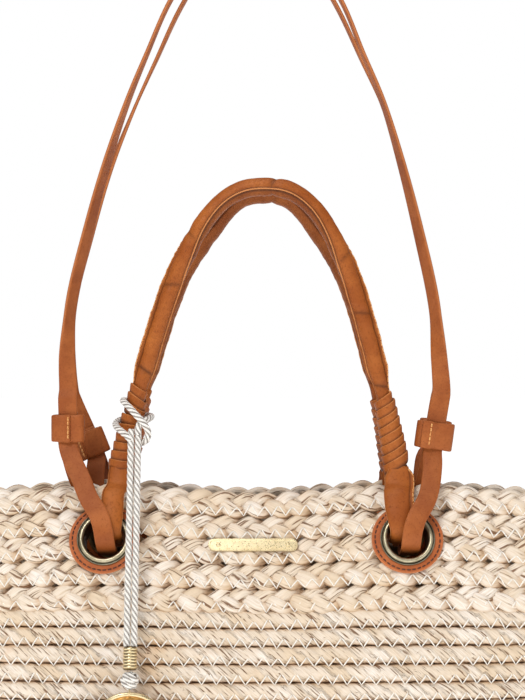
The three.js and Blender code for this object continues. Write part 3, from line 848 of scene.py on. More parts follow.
def wrap(name, side, face, leather):
    """A flat thong wound round a handle's foot, each turn lapping the one above."""
    low, high, turns = (9 * MM, 72 * MM, 8.9) if side < 0 else (10 * MM, 66 * MM, 7.9)
    line = foot_line(side, FOOT_LOW, FOOT_HIGH, FOOT_POINTS)
    axis = along_of(line)
    across = square_to(ACROSS, axis)
    outward = np.cross(across, axis)
    rows = int(turns * 30)
    phi = np.linspace(0, TAU * turns, rows)
    height = high - 3.6 * MM - (high - low - 7.2 * MM) * phi / phi[-1]
    share = (height - WRAP_LOW) / (WRAP_HIGH - WRAP_LOW)
    half_x = (5.75 + 3.3 * (1 - share)) * MM
    half_y = (7.9 + 2.5 * (1 - share)) * MM
    slope = 0.6 * ease((height - 40 * MM) / (18 * MM)) if side < 0 else 0.27 + 0 * phi
    ends = np.minimum(phi, phi[-1] - phi)
    tuck = 1.5 * MM * (1 - ease(ends / 0.8))
    side_x = np.cos(phi) * (half_x - tuck)
    side_y = np.sin(phi) * (half_y - tuck)
    level = (height + side * slope * side_x - FOOT_LOW) / (FOOT_HIGH - FOOT_LOW) * (FOOT_POINTS - 1)
    steps = np.arange(FOOT_POINTS)
    pick = lambda values: np.stack([np.interp(level, steps, values[:, k]) for k in range(3)], -1)
    centre = pick(line) + pick(across) * side_x[:, None] + pick(outward) * side_y[:, None]
    ahead = along_of(centre)
    normal = pick(across) * (np.cos(phi) / half_x)[:, None] + pick(outward) * (np.sin(phi) / half_y)[:, None]
    deep = square_to(unit(normal), ahead)
    up = np.cross(deep, ahead)
    up *= np.sign((up * pick(axis)).sum(-1, keepdims=True))
    lap = 0.15
    wide = unit(up + lap * deep)
    deep = unit(deep - lap * up)
    angle = ring_angles(16)
    tags = {
        "along": (phi * 9 * MM)[:, None],
        "across": np.cos(angle) * 4 * MM,
        # tone: painted shade along each turn's lower edge.
        "tone": np.clip(-np.cos(angle) * 2.6 - 0.1, 0, 1),
        "depth": np.clip(np.cos(angle) * 5 - 4.1, 0, 1),
    }
    half = 3.95 * MM + 0.2 * MM * np.sin(phi * 1.7)
    centre, wide, deep = (mirrored(v, face) for v in (centre, wide, deep))
    thong = tube(centre, wide, deep, half, 0.95 * MM, 16, tags=tags, power=0.5)
    make(f"{name}_wrap_thong", [thong], leather, HANDLE_BODY[face], "handle_leather", f"{name}_wrap")


# A handle end's way through the eyelet: across towards the bag's middle, up, and out.
HANDLE_END = [
    (6.5, 30, 14), (6, 21, 14.2), (5.5, 13, 14.2), (4.5, 5, 12.5), (4.5, 2, 8), (4.5, 1.5, 0),
    (4.5, 2, -8), (4.5, 5, -12.5), (4.5, 13, -14.4), (4, 21, -14.4),
]


def handle_end(name, side, face, leather, thread):
    """The handle's flattened end: out of the wrap, in through the eyelet and up inside to the wrap."""
    route = above_mouth([(2 + side * 97.4, -27.5, 15), (2 + side * 98, -31.5, 3)])
    route += through_eyelet(side, [(-side * x, u, w) for x, u, w in HANDLE_END])
    route += above_mouth([(2 + side * 99, -13, 3), (2 + side * 97.5, -16, 15)])
    line = smooth_line(route, 74)
    ahead = along_of(line)
    wide = square_to(-side * ACROSS, ahead)
    face_out = np.cross(wide, ahead) * side
    run = run_of(line)
    near_hole = np.exp(-(((run / run[-1] - 0.5) / 0.2) ** 4))
    spread = ease((RIM + 14 * MM - line[:, 2]) / (6 * MM)) * (1 - near_hole)
    broad, fin = (0.6, 0.1) if side < 0 else (2.0, 2.3)
    half_wide = (6.8 + broad * spread + 0.4 * near_hole) * MM
    half_deep = (2.9 - 0.4 * near_hole) * MM
    flange = (0.3 + fin * spread) * MM
    lip = np.full(len(line), 0.3 * MM)
    across, through, edge, shade = casing_section(half_wide, half_deep, flange, lip)
    shown = face_out * np.sign(-face_out[4, 1])
    cover = casing(line, wide, shown, across, through, edge, 0.8 * shade, face, 1.7 * side)
    piece = gather(f"{name}_handle_tail", [cover], leather)
    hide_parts(f"{name}_handle_end")
    seam = line + wide * (across[:, FIN_EDGE] + 0.5 * MM)[:, None]
    seam += shown * fin_half(half_deep)[:, None]
    parts = [piece]
    if side > 0:
        sewn = stitches(seam[:30], shown[:30], 3.6 * MM, 2.6 * MM, 0.4 * MM, face)
        parts.append(gather(f"{name}_tail_stitches", sewn, thread))
    for part in parts:
        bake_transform(part, "bag", HANDLE_BODY[face], start=(0, 0, RIM - 2 * MM), end=(0, 0, RIM + 10 * MM))


# Half a strap's arch, as the distance to the side and the height above the mouth.
STRAP_HALF = [
    (130, 68), (130, 92), (126.5, 130), (117, 180), (104.5, 227), (89, 272), (75, 306), (59, 345),
    (35, 382), (0, 400),
]

# How far each half hangs to the right of that line, point by point.
STRAP_HANG = {
    "front_left": (-2, -2.8, -3.4, -1.6, -1.5, -2.1, -2.5, -1.5, -1, 0),
    "front_right": (0.2, -1.4, -1.4, -2.4, -1.5, 0.7, 1, 1, 0.5, 0),
    "back_left": (-5.4, -6.6, -7, -3.4, -1.3, 1.3, 2.9, 5.5, 6, 3.5),
    "back_right": (4.2, 2.8, 2.4, 0.6, 0.9, 2.5, 1, -1.5, -1.5, 3.5),
}

# Each strap end's keeper, as its middle and its lean from upright, and its route: from the strap, down
# the outside, through the eyelet and up the inside.
STRAP_ENDS = {
    "front_left": {
        "keeper": (-132, 42, 0),
        "top": [(-132.4, -23.6, 64)],
        "down": [(-129, -28, 22), (-121.5, -37, 8)],
        "outside": [(-10, 26, 18.8), (-3, 14, 19.2), (0, 4, 18.4), (1, -3.5, 15), (1.5, -7, 8)],
        "inside": [(1.5, -7.5, 0), (1, -7, -8), (0, -3, -15.5), (-1, 5, -18.8), (-3, 15, -19.3)],
        "up": [(-113, -11, -22), (-118, -11.5, -10), (-126, -13, 6), (-131, -18, 25)],
    },
    "front_right": {
        "keeper": (125.2, 37, -8),
        "top": [(129.6, -23.6, 64)],
        "down": [(123.4, -29, 18), (121.2, -37, 4)],
        "outside": [(12, 24, 18.8), (6, 13, 19.2), (3, 4, 18.4), (2, -3.5, 15), (2, -7, 8)],
        "inside": [(2, -7.5, 0), (2, -7, -8), (2, -3, -15.5), (3, 5, -18.8), (5, 15, -19.3)],
        "up": [(114, -11, -22), (116, -11.5, -10), (119.5, -13, 4), (122.6, -18, 20)],
    },
    "back_left": {
        "keeper": (-120, 29, 22),
        "top": [(-134.8, -23.6, 64), (-130, -23.6, 52)],
        "down": [(-114, -29.4, 12), (-111.2, -39, 2)],
        "outside": [(-2, 26, 20), (0, 14, 19.6), (1, 4, 18.4), (1.5, -3.5, 15), (1.5, -7, 8)],
        "inside": [(1.5, -7.5, 0), (1, -7, -8), (0, -3, -15.5), (-1, 5, -18.8), (-3, 15, -19.3)],
        "up": [(-113, -11, -22), (-116, -11.5, -10), (-116.5, -13, 1), (-116.2, -17, 12)],
    },
}
STRAP_ENDS["back_right"] = STRAP_ENDS["front_right"] | {
    "keeper": (129.4, 37, -8),
    "top": [(133.6, -23.6, 64)],
    "down": [(127.2, -29, 18), (123, -37, 4)],
}


def keeper_frame(name):
    """A keeper's middle at the front, its upward direction and its direction across."""
    x, z, lean = STRAP_ENDS[name]["keeper"]
    lean = math.radians(lean)
    middle = np.array([x * MM, STRAP_Y, RIM + z * MM])
    rise, slant = math.cos(lean), math.sin(lean)
    return middle, np.array([-slant, 0, rise]), np.array([rise, 0, slant])


def strap_end_route(name, side):
    end = STRAP_ENDS[name]
    middle, along, _ = keeper_frame(name)
    layer = 1.7 * MM
    reach = KEEPER_HEIGHT / 2 + MM
    held = lambda depth, high: tuple(middle + along * high + np.array([0, depth, 0]))
    route = above_mouth(end["top"]) + [held(-layer, reach), held(-layer, -reach)] + above_mouth(end["down"])
    route += through_eyelet(side, end["outside"] + end["inside"]) + above_mouth(end["up"])
    return route + [held(layer, -reach), held(layer, reach + MM)]


def strap(name, face, leather):
    """One long flat strap: each end goes down through its eyelet and comes back up into its keeper."""
    arch = [(x, (-22 + 14 * (z - 68) / 332), z) for x, z in STRAP_HALF]
    hang = {side: STRAP_HANG[f"{name}_{side}"] for side in SIDES}
    right = above_mouth([(x + k, y, z) for k, (x, y, z) in zip(hang["right"], arch)])
    left = above_mouth([(k - x, y, z) for k, (x, y, z) in zip(hang["left"][:-1], arch)])
    ends = {side: strap_end_route(f"{name}_{side}", SIDES[side]) for side in SIDES}
    route = ends["left"][::-1] + left + right[::-1] + ends["right"]
    line = smooth_line(route, 420)
    ahead = along_of(line)
    height = (line[:, 2] - RIM) / MM
    middle = int(np.argmax(height))
    sign = np.where(np.arange(len(line)) < middle, 1.0, -1.0)[:, None]
    turn = (math.pi / 2) * (0.65 * ease((height - 64) / 60) + 0.35 * ease((height - 130) / 210))[:, None]
    in_arch = ease((height - 66) / 20)[:, None]
    level = in_arch * np.cross(BACKWARDS, ahead) + (1 - in_arch) * sign * ACROSS
    wide = square_to(unit(level) * np.cos(turn) + BACKWARDS * np.sin(turn), ahead)
    deep = np.cross(ahead, wide)
    angle = ring_angles(14)
    run = run_of(line)[:, None]
    tags = {"along": run + face, "across": np.cos(angle) * 6 * MM, "depth": cut_edges(angle)}
    line, wide, deep = (mirrored(v, face) for v in (line, wide, deep))
    half = (6.05 + 0.65 * (1 - ease((height - 48) / 40))) * MM
    flat = tube(line, wide, deep, half, 1.2 * MM, 14, tags=tags, power=0.32)
    piece = gather(f"{name}_shoulder_strap", [flat], leather)
    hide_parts(f"{name}_strap", f"{name}_left_strap_end", f"{name}_right_strap_end")
    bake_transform(piece, "bag", f"{name}_strap", start=(0, 0, RIM + 58 * MM), end=(0, 0, RIM + 74 * MM))


# Each keeper's seam: where the band starts, where it ends over its own start, where it is stitched, and
# the face that this is on.
KEEPER_SEAMS = {
    "front_left": (0.3, 1.9, 0.6, -1),
    "front_right": (-2.0, -9.6, -3.6, -1),
    "back_left": (-7.5, -5.6, -7.1, -1),
    "back_right": (2.0, 4.0, 2.4, 1),
}


def keeper(name, side, face, leather, thread):
    middle, along, across = keeper_frame(name)
    middle = mirrored(middle, face)
    start, end, seam, seam_face = KEEPER_SEAMS[name]
    way = 1 if end > start else -1
    start, end = way * start, way * end
    half_x = (KEEPER_WIDTH - KEEPER_WALL) / 2 + (0.8 if name == "front_right" else -0.8) * MM
    half_y = (KEEPER_DEPTH - KEEPER_WALL) / 2
    corner = 3.4 * MM
    loop = [(start * MM, -half_y)]
    for sx, sy, first in ((1, -1, -90), (1, 1, 0), (-1, 1, 90), (-1, -1, 180)):
        for step in range(6):
            a = math.radians(first + 18 * step)
            x, y = corner * math.cos(a), corner * math.sin(a)
            loop.append((sx * (half_x - corner) + x, sy * (half_y - corner) + y))
    rise = ((start - 2.0, 0.6), (start + 0.6, 1.75), ((start + end) / 2 + 0.4, 1.8), (end, 1.95))
    loop += [(x * MM, -half_y - up * MM) for x, up in rise]
    closed = smooth_line(np.c_[np.array(loop), np.zeros(len(loop))], 110)[:, :2] * [way, 1]
    line = middle + across * closed[:, :1] + BACKWARDS * (-seam_face * closed[:, 1:])
    ahead = along_of(line)
    wide = np.tile(along, (len(line), 1))
    deep = np.cross(ahead, wide)
    run = run_of(line)
    half = KEEPER_HEIGHT / 2 * (1 + 0.025 * np.sin(TAU * run / (23 * MM) + side))
    angle = ring_angles(12)
    along_band = run[:, None] + 3 * side + face
    tags = {"along": along_band, "across": np.cos(angle) * 9 * MM, "depth": cut_edges(angle)}
    band = tube(line, wide, deep, half, KEEPER_WALL / 2, 12, tags=tags, power=0.3)
    make(f"{name}_keeper_band", [band], leather, f"{name}_keeper", "strap_leather", f"{name}_keeper")
    out = seam_face * BACKWARDS
    column = np.linspace(-8.2, 8.2, 20)[:, None] * MM
    line = middle + along * column + across * seam * MM + out * (half_y + 1.75 * MM + KEEPER_WALL / 2)
    sewn = stitches(line, np.tile(out, (20, 1)), 3.1 * MM, 2.3 * MM, 0.5 * MM)
    make(f"{name}_keeper_stitches", sewn, thread, f"{name}_keeper", "strap_leather")


# ---- eyelets and their patches ----
def turned(outline_, steps, closed=True, depth=None, at=None):
    """A body turned about +Z from an outline of radius and height in millimetres, then moved into place."""
    bm = blank()
    layer = bm.verts.layers.float["depth"]
    verts = [bm.verts.new((r * MM, 0, w * MM)) for r, w in outline_]
    for vert, value in zip(verts, depth or [0] * len(verts)):
        vert[layer] = value
    edges = [bm.edges.new(pair) for pair in zip(verts, verts[1:] + verts[:closed])]
    axis = {"cent": (0, 0, 0), "axis": (0, 0, 1), "dvec": (0, 0, 0)}
    bmesh.ops.spin(bm, geom=verts + edges, angle=TAU, steps=steps, use_merge=True, **axis)
    bmesh.ops.remove_doubles(bm, verts=bm.verts, dist=1e-6)
    bmesh.ops.recalc_face_normals(bm, faces=bm.faces)
    if at is not None:
        bmesh.ops.transform(bm, matrix=at, verts=bm.verts)
    return bm


PATCH = [(15.4, 0.1), (15.5, 0), (20, 0), (24, 0), (24.5, 0.5), (24.5, 1.4), (24.1, 1.95)]
PATCH += [(23.4, 2.0), (22.2, 1.8), (21.2, 2.0), (18, 2.0), (15.5, 2.0), (15.4, 1.8)]
PATCH_EDGE = [0, 0, 0, 0.2, 1, 1, 0.5, 0, 0, 0, 0, 0, 0]
EYELET = [(14, -10.1), (16.6, -10.1), (16.6, -9.3), (15, -9.3), (15, 7.8), (19, 7.8), (19, 8.5), (18.7, 8.95)]
EYELET += [(18.3, 8.9), (18.0, 8.35), (17.7, 8.6), (17.4, 9.6), (16.8, 10.3), (16, 10.6), (15.2, 10.4)]
EYELET += [(14.5, 9.7), (14.1, 8.8), (14, 8)]
# How dark each outline point is painted: painted shade in the bore and on the faces turned away, darkest in
# the groove round the rolled rim.
EYELET_DARK = [0.6, 0.6, 0.6, 0.8, 0.8, 0.9, 0.8, 0.55, 0.9, 1, 1, 0.35, 0, 0, 0, 0.15, 0.6, 0.9]
WASHER = [(15.3, -8.8), (15.5, -8.8), (18.2, -8.8), (18.5, -8.5), (18.5, -8.0), (18.3, -7.8), (15.3, -7.8)]


def patch_lift(angle, seed):
    return (0.18 * np.sin(3 * angle + seed) + 0.12 * np.sin(5 * angle + 2 * seed)) * MM


def eyelet(name, leather, thread, brass):
    matrix = EYELETS[name]
    seed = 1.3 * list(EYELETS).index(name)
    for where, base, way in (("outer", 5.5, 1), ("inner", -5.5, -1)):
        bm = turned(PATCH, 80, depth=PATCH_EDGE)
        for vert in bm.verts:
            angle = math.atan2(vert.co.y, vert.co.x)
            reach = math.hypot(vert.co.x, vert.co.y)
            grow = 1 + 0.012 * math.sin(2 * angle + seed) * ease(reach / (24 * MM))
            lift = float(patch_lift(angle, seed)) * float(ease((reach - 17 * MM) / (7 * MM)))
            vert.co = (vert.co.x * grow, vert.co.y * grow, way * (vert.co.z + lift) + base * MM)
        bmesh.ops.recalc_face_normals(bm, faces=bm.faces)
        bmesh.ops.transform(bm, matrix=matrix, verts=bm.verts)
        make(f"{name}_{where}_patch_ring", [bm], leather, "bag", "patch_leather", f"{name}_{where}_patch")
        angle = np.linspace(0, TAU, 241)
        level = base * MM + way * (1.82 * MM + patch_lift(angle, seed) * 0.8)
        grow = 22.2 * MM * (1 + 0.012 * np.sin(2 * angle + seed))
        ring = [tuple(matrix @ Vector(p)) for p in zip(grow * np.cos(angle), grow * np.sin(angle), level)]
        out = np.tile(np.array(matrix.to_3x3() @ Vector((0, 0, way))), (len(ring), 1))
        sewn = stitches(np.array(ring), out, 3.65 * MM, 2.5 * MM, 0.42 * MM)
        make(f"{name}_{where}_patch_stitches", sewn, thread, "bag", "patch_leather")
    for fitting, shape, dark in (("eyelet", EYELET, EYELET_DARK), ("washer", WASHER, None)):
        bm = turned(shape, 72, depth=dark, at=matrix)
        make(f"{name}_brass_{fitting}", [bm], brass, "bag", "antique_brass", f"{name}_{fitting}")


# ---- bar on the front ----
BAR_X = -2 * MM
BAR_Z = RIM - 36 * MM


def front_bar(gold):
    """A plain rounded bar with a sunk face, held by two domed pins."""
    slope = math.atan((panel_y(BAR_X, BAR_Z - MM) - panel_y(BAR_X, BAR_Z + MM)) / (2 * MM))
    seat = Matrix.Translation((BAR_X, -panel_y(BAR_X, BAR_Z), BAR_Z + float(wave(BAR_X, BAR_Z))))
    seat = seat @ Matrix.Rotation(math.pi / 2 - slope, 4, "X")
    half_x, half_y, corner = 31 * MM, 4.5 * MM, 4.4 * MM
    bm = blank()
    ring = []
    for sx, start in ((1, -90), (-1, 90)):
        for step in range(13):
            a = math.radians(start + 15 * step)
            ring.append((sx * (half_x - corner) + corner * math.cos(a), half_y * math.sin(a), 1.2 * MM))
    face = bm.faces.new([bm.verts.new(p) for p in ring])
    made = bmesh.ops.extrude_face_region(bm, geom=[face])["geom"]
    raised = [v for v in made if isinstance(v, bmesh.types.BMVert)]
    bmesh.ops.translate(bm, vec=(0, 0, 1.6 * MM), verts=raised)
    top = max(bm.faces, key=lambda f: f.calc_center_median().z)
    rounding = {"offset": 0.45 * MM, "segments": 3, "profile": 0.5, "affect": "EDGES", "material": -1}
    bmesh.ops.bevel(bm, geom=list(top.edges), **rounding)
    top = max((f for f in bm.faces if len(f.verts) > 8), key=lambda f: f.calc_center_median().z)
    bmesh.ops.inset_region(bm, faces=[top], thickness=0.7 * MM, depth=0)
    bmesh.ops.inset_region(bm, faces=[top], thickness=0.35 * MM, depth=-0.35 * MM)
    bmesh.ops.recalc_face_normals(bm, faces=bm.faces)
    bmesh.ops.transform(bm, matrix=seat, verts=bm.verts)
    piece = gather("plain_gold_bar", [bm], gold, smooth=False)
    place(piece, "bag", "gold_metal", "brass_bar")
    dome = [(0, 0.9), (0.6, 0.82), (1.15, 0.55), (1.5, 0.15), (1.6, -0.5), (0, -0.5)]
    for side, x in (("left", -24), ("right", 24)):
        bm = turned(dome, 24, closed=False, at=seat @ Matrix.Translation((x * MM, 0, 2.6 * MM)))
        make(f"{side}_bar_dome", [bm], gold, "bag", "gold_metal", f"{side}_bar_pin")


# ---- twisted cord and charm ----
CORD = 4.6 * MM
CORD_X = -84 * MM
CHARM_MIDDLE = (CORD_X, -89 * MM, RIM - 158 * MM)
CORD_LOW = np.array([CORD_X, -81 * MM, RIM - 102 * MM])
CORD_DOWN = np.array([0.0, -42.0, -145.0]) / math.hypot(42, 145)
CHARM_RING = [(25.1, -1.2), (25.5, -1.5), (26.9, -1.5), (27.4, -1.1), (27.5, 0)]
CHARM_RING += [(27.4, 1.1), (26.9, 1.5), (25.5, 1.5), (25.1, 1.2)]
CHARM_COIN = [(0, 0.75), (8, 0.8), (16, 0.85), (22, 0.75), (24.2, 0.55), (24.8, 0.2)]
CHARM_COIN += [(24.8, -0.2), (24.2, -0.6), (12, -0.8), (0, -0.8)]

# The hitch: down from the left strand's top, round behind the foot and back over to the right strand.
HITCH_ROUND = [
    (-86.4, -41.4, 34), (-88.6, -41.0, 37), (-93.0, -37.6, 40.4), (-97.4, -30.0, 43.4),
    (-98.6, -21.0, 45.6), (-95.8, -11.4, 47.8), (-88.2, -7.0, 49.4), (-79.6, -9.0, 50.4),
    (-74.2, -17.0, 50.4), (-73.8, -26.5, 49.6), (-76.0, -33.8, 48.4), (-79.2, -38.0, 47.4),
    (-81.4, -40.2, 44.0), (-81.6, -41.2, 38),
]
# The bight: from behind the foot at its upper left, down across it and curled under at the right.
HITCH_BIGHT = [
    (-83.6, -8.6, 60), (-90.4, -12.4, 61), (-93.2, -20.0, 61.6), (-92.4, -29.0, 60.8),
    (-88.2, -36.0, 57.4), (-82.8, -41.0, 52), (-77.6, -42.4, 46.4), (-74.6, -41.8, 40.6),
    (-75.6, -39.6, 35), (-79.2, -36.8, 32.6), (-83.0, -34.4, 33.4),
]


def twisted(line, radius, plies, lay, seed=0.0, around=24):
    """A laid cord: its plies stand out as ridges that wind down to the right."""
    ahead = along_of(line)
    wide = [square_to(np.array([[1.0, 0.2, 0.1]]), ahead[:1])[0]]
    for step in ahead[1:]:
        wide.append(square_to(wide[-1][None], step[None])[0])
    wide = np.array(wide)
    deep = np.cross(ahead, wide)
    run = run_of(line)
    wound = ring_angles(around) + TAU * run[:, None] / lay + seed
    ridge = np.abs(np.cos(plies * wound / 2))
    swell = 0.72 + 0.3 * ridge[:, :-1] ** 0.65
    # The ridge goes on the depth layer, which the cord material uses for painted shade in the grooves.
    tags = {"along": run[:, None], "across": wound * radius, "tone": 0.5, "depth": ridge}
    return tube(line, wide, deep, radius, radius, around, False, swell, tags)


def cord_piece(name, route, count, body, material, nodes, seed, ends, **facts):
    line = smooth_line(above_mouth(route), count)
    piece = make(name, [twisted(line, CORD / 2, 4, 17.5 * MM, seed)], material, body, "twisted_cord", *nodes)


def charm(cord, gold, coin_gold):
    down = Vector((0, 0, -1)).rotation_difference(Vector(CORD_DOWN)).to_matrix().to_4x4()
    hang = Matrix.Translation(CORD_LOW) @ down
    ribs = [(0, 0.2), (3.6, 0.2), (4.2, 0)]
    for i in range(7):
        top = -0.5 - 2.0 * i
        ribs += [(4.25, top), (4.7, top - 0.4), (4.8, top - 0.9), (4.7, top - 1.4), (4.25, top - 1.75)]
    ribs += [(4.2, -15.0), (0, -15.2)]
    dark = [1 if r < 4.3 else 0 for r, w in ribs]
    bm = turned(ribs, 40, closed=False, depth=dark, at=hang)
    ferrule = make("ribbed_ferrule", [bm], gold, "charm_cord", "gold_metal", "cord_ferrule")
    polar = np.radians(np.linspace(12, 168, 120))
    spin = np.linspace(0, TAU * 3.6, 120)
    ball = np.stack([np.sin(polar) * np.cos(spin), np.sin(polar) * np.sin(spin), np.cos(polar)], -1)
    tilt = np.array(Matrix.Rotation(math.radians(38), 3, "Y"))
    middle = np.array(hang @ Vector((0, 0, -22.0 * MM)))
    wound = twisted((ball * 4.2 * MM) @ tilt.T + middle, 2.2 * MM, 4, 16 * MM)
    core = blank()
    at = Matrix.Translation(middle)
    bmesh.ops.create_uvsphere(core, u_segments=24, v_segments=14, radius=4.6 * MM, matrix=at)
    knot = make("ball_knot", [wound, core], cord, "charm_cord", "twisted_cord", "cord_knot")
    upright = Matrix.Translation(CHARM_MIDDLE) @ Matrix.Rotation(math.pi / 2, 4, "X")
    bm = turned(CHARM_RING, 96, at=upright)
    rim = make("charm_ring", [bm], gold, "charm", "gold_metal", "charm_rim")
    bm = turned(CHARM_COIN, 96, closed=False, at=upright)
    coin = make("hammered_coin", [bm], coin_gold, "charm", "gold_metal", "charm_coin")
    wire = [(2.35 + 0.5 * math.cos(a), 0.5 * math.sin(a)) for a in np.linspace(0, TAU, 9)[:-1]]
    at = Matrix.Translation(Vector(CHARM_MIDDLE) + Vector((0, 0, 27.2 * MM)))
    bm = turned(wire, 28, at=at @ Matrix.Rotation(math.pi / 2, 4, "Y"))
    make("ring_link", [bm], gold, "charm", "gold_metal")
    tied = ("front_handle", cord)
    cord_piece("cord_hitch_turn", HITCH_ROUND, 150, *tied, ["cord_hitch"], 0.4, "object", lay="taut")
    cord_piece("cord_hitch_bight", HITCH_BIGHT, 110, *tied, [], 1.4, "object", lay="taut")
    for side, sign, others in (("left", -1, [ferrule, knot, rim, coin]), ("right", 1, [ferrule])):
        x = CORD_X / MM + sign * 2.45
        route = [(x, -38.5 - 0.6, 42), (x, -49.6, 4), (x, -60.2, -32), (x, -70.8, -68), (x, -80.8, -101.6)]
        hung = ("charm_cord", cord, [f"{side}_cord_strand"], sign * 0.8, "fitting")
        cord_piece(f"{side}_hanging_cord", route, 150, *hung, lay="hanging", with_pieces=others)


# ---- leather, metal and cord finishes ----
def grain_group():
    """Fine pebbled leather grain, with broad cloudy shading."""
    sockets = [("Place", "Vector", None), ("Size", "Float", 1.0)]
    nodes, come, go = new_group("leather_grain", sockets, ("Height", "Cloud", "Speck"))
    place_, size = come.outputs[0], come.outputs[1]
    cells = {"Vector": place_, "Scale": nodes.times(size, 1150.0), "Smoothness": 0.6}
    pebble = nodes.add("TexVoronoi", feature="SMOOTH_F1", inputs=cells).outputs["Distance"]
    fine = nodes.noise(place_, nodes.times(size, 2600.0), 2.0)
    height = nodes.math("ADD", nodes.times(pebble, 0.7), nodes.times(fine, 0.3))
    cloud = nodes.noise(place_, nodes.times(size, 38.0), 3.0, 0.6)
    speck = nodes.noise(place_, nodes.times(size, 620.0), 3.0, 0.7)
    for i, value in enumerate((height, cloud, speck)):
        nodes.feed(value, go.inputs[i])


def leather_material(name, light, middle, dark, raw, size=1.0):
    material, nodes, bsdf = new_material(name, Specular_IOR_Level=0.24)
    grain = use_group(nodes, "leather_grain", Place=nodes.object_place(), Size=size)
    base = nodes.layered(
        srgb(*middle),
        (nodes.remap(grain["Cloud"], 0.36, 0.66), light),
        (nodes.times(nodes.remap(grain["Speck"], 0.52, 0.72), 0.5), dark),
        # Painted shade: the tone layer darkens creases, folds and undersides toward a deep brown.
        (nodes.times(nodes.attribute("tone"), 0.78), [0.45 * c for c in dark]),
        (nodes.times(nodes.attribute("depth"), 0.85), raw),
    )
    nodes.feed(base, bsdf.inputs["Base Color"])
    nodes.feed(nodes.remap(grain["Speck"], 0.3, 0.7, 0.46, 0.64), bsdf.inputs["Roughness"])
    bump(nodes, bsdf, grain["Height"], 0.16 * MM, 0.8)
    return material


def stitch_material(name, light, dark):
    material, nodes, bsdf = new_material(name, Roughness=0.5)
    speck = nodes.noise(nodes.object_place(), 1400.0, 2.0)
    base = nodes.layered(srgb(*dark), (nodes.remap(speck, 0.35, 0.65), light))
    nodes.feed(base, bsdf.inputs["Base Color"])
    bump(nodes, bsdf, speck, 0.1 * MM)
    return material


def metal_material(name, light, shade, deep, rough, wear=0.5, dents=0.0):
    """Metal with cloudy tarnish, and darker in its grooves; in the eyelets that darkening is painted shade in
    the bore.
    """
    material, nodes, bsdf = new_material(name, Metallic=1.0)
    place_ = nodes.object_place()
    cloud = nodes.noise(place_, 130.0, 4.0, 0.65)
    fine = nodes.noise(place_, 1100.0, 3.0)
    tarnish = nodes.remap(cloud, 0.4, 0.68, 0.0, wear)
    # The depth layer darkens toward the deep colour: painted shade in the eyelets' bores and on their hidden
    # faces, and the ferrule's grooves.
    grooves = nodes.times(nodes.attribute("depth"), 0.9)
    base = nodes.layered(srgb(*light), (tarnish, shade), (grooves, deep))
    nodes.feed(base, bsdf.inputs["Base Color"])
    nodes.feed(nodes.remap(fine, 0.3, 0.7, rough - 0.06, rough + 0.08), bsdf.inputs["Roughness"])
    if dents:
        cells = {"Vector": place_, "Scale": 270.0, "Smoothness": 0.8}
        hollows = nodes.add("TexVoronoi", feature="SMOOTH_F1", inputs=cells)
        bump(nodes, bsdf, hollows.outputs["Distance"], dents)
    else:
        bump(nodes, bsdf, fine, 0.05 * MM, 0.6)
    return material


def cord_material():
    """Shiny ivory yarn, with painted shade in the grooves between its plies."""
    sheen = {"Sheen_Weight": 0.25, "Specular_IOR_Level": 0.5}
    material, nodes, bsdf = new_material("ivory_cord", Roughness=0.5, **sheen)
    across = nodes.times(nodes.attribute("across"), 3200.0)
    along = nodes.times(nodes.attribute("along"), 260.0)
    yarn = nodes.noise(nodes.combine(across, along, 0.0), 1.0, 2.0)
    base = nodes.layered(
        # Painted shade: dark brown in the ply grooves, ivory on each ply's crown.
        srgb(84, 70, 58),
        (nodes.remap(nodes.attribute("depth"), 0.2, 0.85), (250, 246, 238)),
        (nodes.times(nodes.remap(yarn, 0.45, 0.7), 0.3), (188, 172, 152)),
    )
    nodes.feed(base, bsdf.inputs["Base Color"])
    bump(nodes, bsdf, yarn, 0.25 * MM, 0.7)
    return material


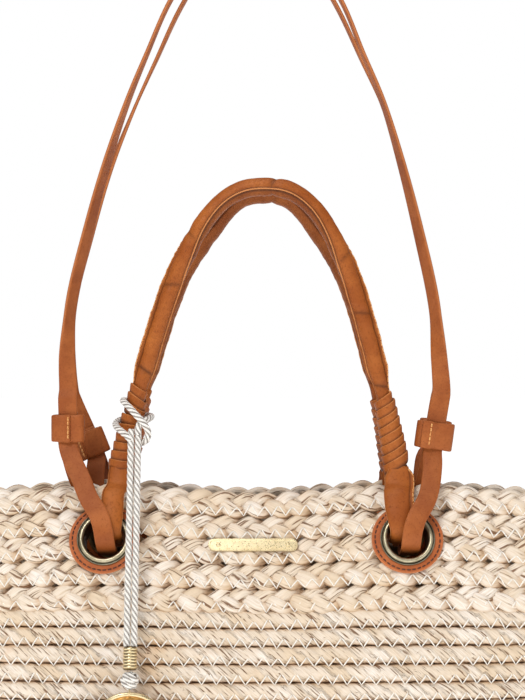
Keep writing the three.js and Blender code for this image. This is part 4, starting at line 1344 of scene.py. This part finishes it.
def leather_goods():
    grain_group()
    tan = leather_material("tan_leather", (172, 97, 42), (148, 77, 29), (104, 52, 18), (204, 134, 80))
    colours = (168, 95, 48), (146, 77, 36), (104, 52, 24), (188, 116, 70)
    red_tan = leather_material("strap_tan_leather", *colours, 1.2)
    colours = (186, 104, 58), (164, 86, 46), (120, 60, 32), (196, 122, 78)
    patch = leather_material("patch_leather", *colours, 1.3)
    orange = stitch_material("orange_thread", (236, 176, 108), (206, 134, 70))
    dark = stitch_material("dark_thread", (88, 46, 26), (52, 26, 16))
    brass = metal_material("aged_brass", (196, 186, 156), (144, 134, 106), (44, 42, 38), 0.36, 0.8)
    gold = metal_material("soft_gold", (232, 214, 172), (206, 182, 134), (104, 82, 50), 0.3, 0.6)
    colours = (228, 176, 104), (196, 136, 70), (120, 80, 40)
    coin = metal_material("hammered_gold", *colours, 0.34, 0.8, 0.5 * MM)
    cord = cord_material()
    for face, sign in FACES.items():
        handle(face, sign, tan, orange)
        strap(face, sign, red_tan)
    for name, (side, face) in CORNERS.items():
        wrap(name, side, face, tan)
        handle_end(name, side, face, tan, orange)
        keeper(name, side, face, red_tan, orange)
        eyelet(name, patch, dark, brass)
    front_bar(gold)
    charm(cord, gold, coin)


# ---- stage ----
def stage():
    camera = bpy.data.cameras.new("camera")
    camera.lens = 91.85
    camera.sensor_width = 36
    eye = bpy.data.objects.new("camera", camera)
    eye.location = (4.5 * MM, -1.276, 0.417)
    eye.rotation_euler = (math.pi / 2, 0, 0)
    bpy.context.scene.collection.objects.link(eye)
    bpy.context.scene.camera = eye
    bpy.context.scene.view_settings.view_transform = "Standard"

    glow = {"Emission_Color": (1, 1, 1, 1), "Emission_Strength": 0.8}
    material, nodes, bsdf = new_material("pale_floor", Roughness=0.9, **glow)
    shade = nodes.noise(nodes.object_place(), 3.0)
    nodes.feed(nodes.mix(shade, (0.93, 0.93, 0.93, 1), (0.95, 0.95, 0.95, 1)), bsdf.inputs["Base Color"])
    bm = bmesh.new()
    bmesh.ops.create_grid(bm, x_segments=2, y_segments=2, size=14)
    mesh = bpy.data.meshes.new("floor")
    bm.to_mesh(mesh)
    bm.free()
    mesh.materials.append(material)
    floor = bpy.data.objects.new("floor", mesh)
    bpy.context.scene.collection.objects.link(floor)

    world = bpy.data.worlds.new("studio")
    world.use_nodes = True
    sky = Nodes(world.node_tree)
    seen = sky.add("LightPath").outputs["Is Camera Ray"]
    sky.feed(sky.mix(seen, (0.3, 0.3, 0.31, 1), (1, 1, 1, 1)), world.node_tree.nodes["Background"].inputs[0])
    bpy.context.scene.world = world
    for name, spot, aim, size, power in (
        ("key", (-0.7, -1.6, 1.9), (0, 0, 0.3), 0.8, 25),
        ("fill", (1.6, -1.3, 0.9), (0, 0, 0.3), 1.4, 5),
        ("top", (0.1, -0.2, 2.2), (0, 0, 0.3), 0.9, 9),
    ):
        light = bpy.data.lights.new(name, "AREA")
        light.size = size
        light.energy = power
        lamp = bpy.data.objects.new(name, light)
        lamp.location = spot
        lamp.rotation_euler = (Vector(aim) - Vector(spot)).to_track_quat("-Z", "Y").to_euler()
        bpy.context.scene.collection.objects.link(lamp)


stage()
fibre_group()
straw_body()
leather_goods()
